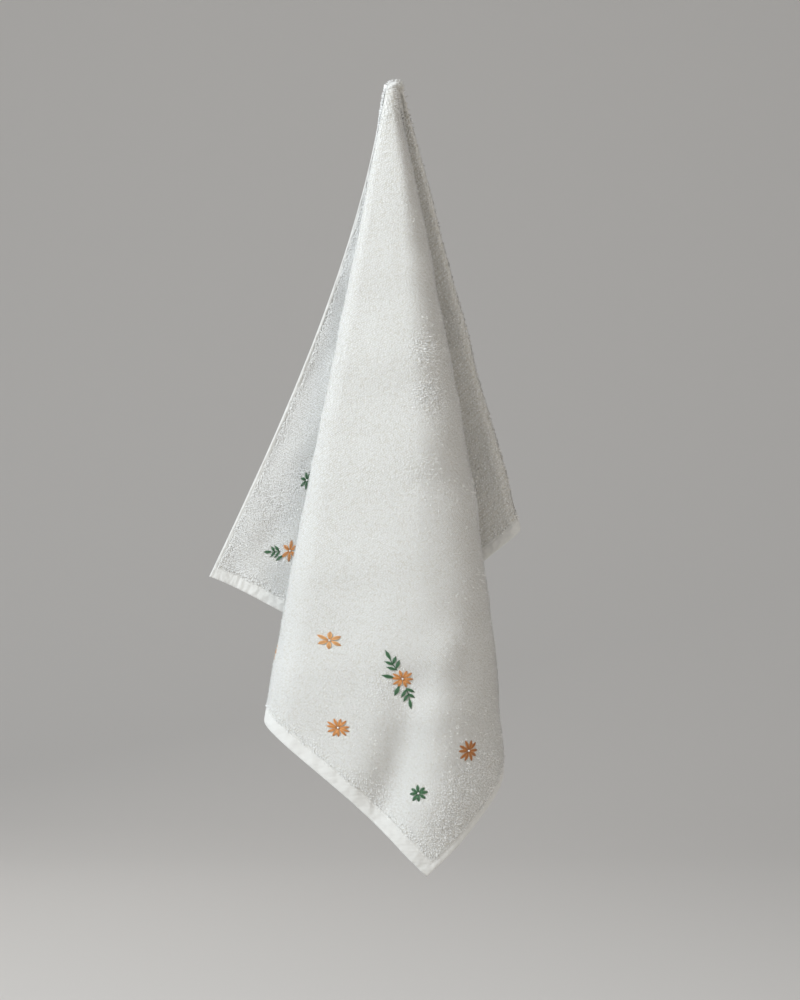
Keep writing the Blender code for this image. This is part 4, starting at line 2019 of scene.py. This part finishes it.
@dataclass(frozen=True)
class Studio:
    """The floor, the lights and the camera.

    Attributes:
        eye: The camera's place.
        view_height: Height of what the camera sees at the hanging point's depth.
        floor: Height of the floor.
        floor_width: Width of the floor.
        floor_front: Where the floor starts, on the camera's side.
        floor_run: Its flat length.
        curve: Radius of its rise far behind the towel.
        wall: Height of its straight end over the curve.
    """

    eye: tuple[float, float, float] = (0.004, -1.98, -0.351)
    view_height: float = 0.84
    floor: float = -0.95
    floor_width: float = 16.0
    floor_front: float = -4.0
    floor_run: float = 6.0
    curve: float = 2.0
    wall: float = 3.0

    def _light(
        self,
        name: str,
        place: tuple[float, float, float],
        aim: tuple[float, float, float],
        size: float,
        power: float,
        colour: tuple[float, float, float],
    ) -> None:
        """Adds a soft lamp.

        Args:
            name: Its name.
            place: Where it stands.
            aim: What it points at.
            size: Side of its square.
            power: Its power in watts.
            colour: Its colour.
        """
        lamp = bpy.data.lights.new(name, "AREA")
        lamp.shape, lamp.size, lamp.energy, lamp.color = "SQUARE", size, power, colour
        made = bpy.data.objects.new(name, lamp)
        made.location = place
        made.rotation_euler = (Vector(aim) - Vector(place)).to_track_quat("-Z", "Y").to_euler()
        bpy.context.scene.collection.objects.link(made)

    def _sweep(self) -> None:
        """Adds the floor, which curves up far behind the towel."""
        work = bmesh.new()
        bmesh.ops.create_grid(work, x_segments=1, y_segments=24, size=0.5)
        for vert in work.verts:
            share = vert.co.y + 0.5
            turn = np.clip((share - 0.5) * 2.0, 0.0, 1.0) * 0.5 * math.pi
            flat = min(share * 2.0, 1.0)
            vert.co.x *= self.floor_width
            vert.co.y = self.floor_front + self.floor_run * flat + self.curve * math.sin(turn)
            vert.co.z = self.floor + self.curve * (1.0 - math.cos(turn))
            if share > 0.999:
                vert.co.z += self.wall
        mesh = bpy.data.meshes.new("floor")
        for face in work.faces:
            face.smooth = True
        work.to_mesh(mesh)
        work.free()
        material = bpy.data.materials.new("floor")
        material.use_nodes = True
        shader = material.node_tree.nodes["Principled BSDF"]
        shader.inputs["Base Color"].default_value = (0.66, 0.64, 0.62, 1.0)
        shader.inputs["Roughness"].default_value = 0.9
        mesh.materials.append(material)
        floor = bpy.data.objects.new("floor", mesh)
        bpy.context.scene.collection.objects.link(floor)

    def build(self) -> None:
        """Makes the floor, the lamps, the sky and the camera."""
        self._sweep()
        self._light("key", (-1.75, -1.40, 1.05), (0.0, 0.0, -0.25), 1.1, 71.0, (0.93, 0.98, 1.0))
        self._light("back", (-0.9, 1.8, 0.6), (0.0, 0.0, -0.25), 1.2, 8.0, (1.0, 0.98, 0.95))
        self._light("fill", (1.8, -1.9, -0.1), (0.0, 0.0, -0.35), 1.2, 12.0, (1.0, 0.88, 0.72))
        world = bpy.data.worlds.new("studio")
        world.use_nodes = True
        sky = world.node_tree.nodes["Background"]
        sky.inputs["Color"].default_value = (0.985, 0.99, 1.0, 1.0)
        sky.inputs["Strength"].default_value = 0.38
        bpy.context.scene.world = world
        bpy.context.scene.view_settings.view_transform = "Standard"
        data = bpy.data.cameras.new("camera")
        data.sensor_fit = "AUTO"
        data.sensor_width = 36.0
        data.lens = data.sensor_width * -self.eye[1] / self.view_height
        data.dof.use_dof = False
        camera = bpy.data.objects.new("camera", data)
        camera.location = self.eye
        camera.rotation_euler = (0.5 * math.pi, 0.0, 0.0)
        bpy.context.scene.collection.objects.link(camera)
        bpy.context.scene.camera = camera


def build_towel() -> list[bpy.types.Object]:
    """Makes every piece of the towel.

    Returns:
        The pieces, the cloth first.
    """
    finish = TerryFinish()
    grid = ClothGrid()
    LOG.info("grid: %d lines, %d rows", *grid.u.shape)
    cloth = ClothSheet().build(grid, finish.ground())
    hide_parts("towel")
    exposure = Exposure(grid)
    pile_material = finish.pile()
    pile = Pile(tousles=TOUSLES)
    motifs = list(MOTIFS)
    pieces = [
        pile.build("pile_panel", grid, exposure, 1, True, pile_material, motifs, (28.0, 60.0)),
        pile.build("pile_left_wing", grid, exposure, 1, True, pile_material, motifs, (0.0, 28.0), 0.20),
        # The right wing's high value also paints its loops darker, as it hangs in shade.
        pile.build("pile_right_wing", grid, exposure, 1, True, pile_material, motifs, (60.0, 180.0), 1.0),
        pile.build("pile_behind", grid, exposure, 1, False, pile_material, motifs, (0.0, 180.0)),
        pile.build("pile_inside", grid, exposure, -1, False, pile_material, motifs, (0.0, 180.0)),
    ]
    pieces += Embroidery(MOTIFS).build(grid)
    pieces.append(HemStitches().build(grid, THREADS[Thread.WHITE].material()))
    pieces = [piece for piece in pieces if piece]
    return [cloth] + pieces


def main() -> None:
    """Builds the towel and its studio."""
    logging.basicConfig(level=logging.INFO, format="%(name)s %(message)s")
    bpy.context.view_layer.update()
    build_towel()
    Studio().build()


if __name__ == "__main__":
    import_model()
    main()
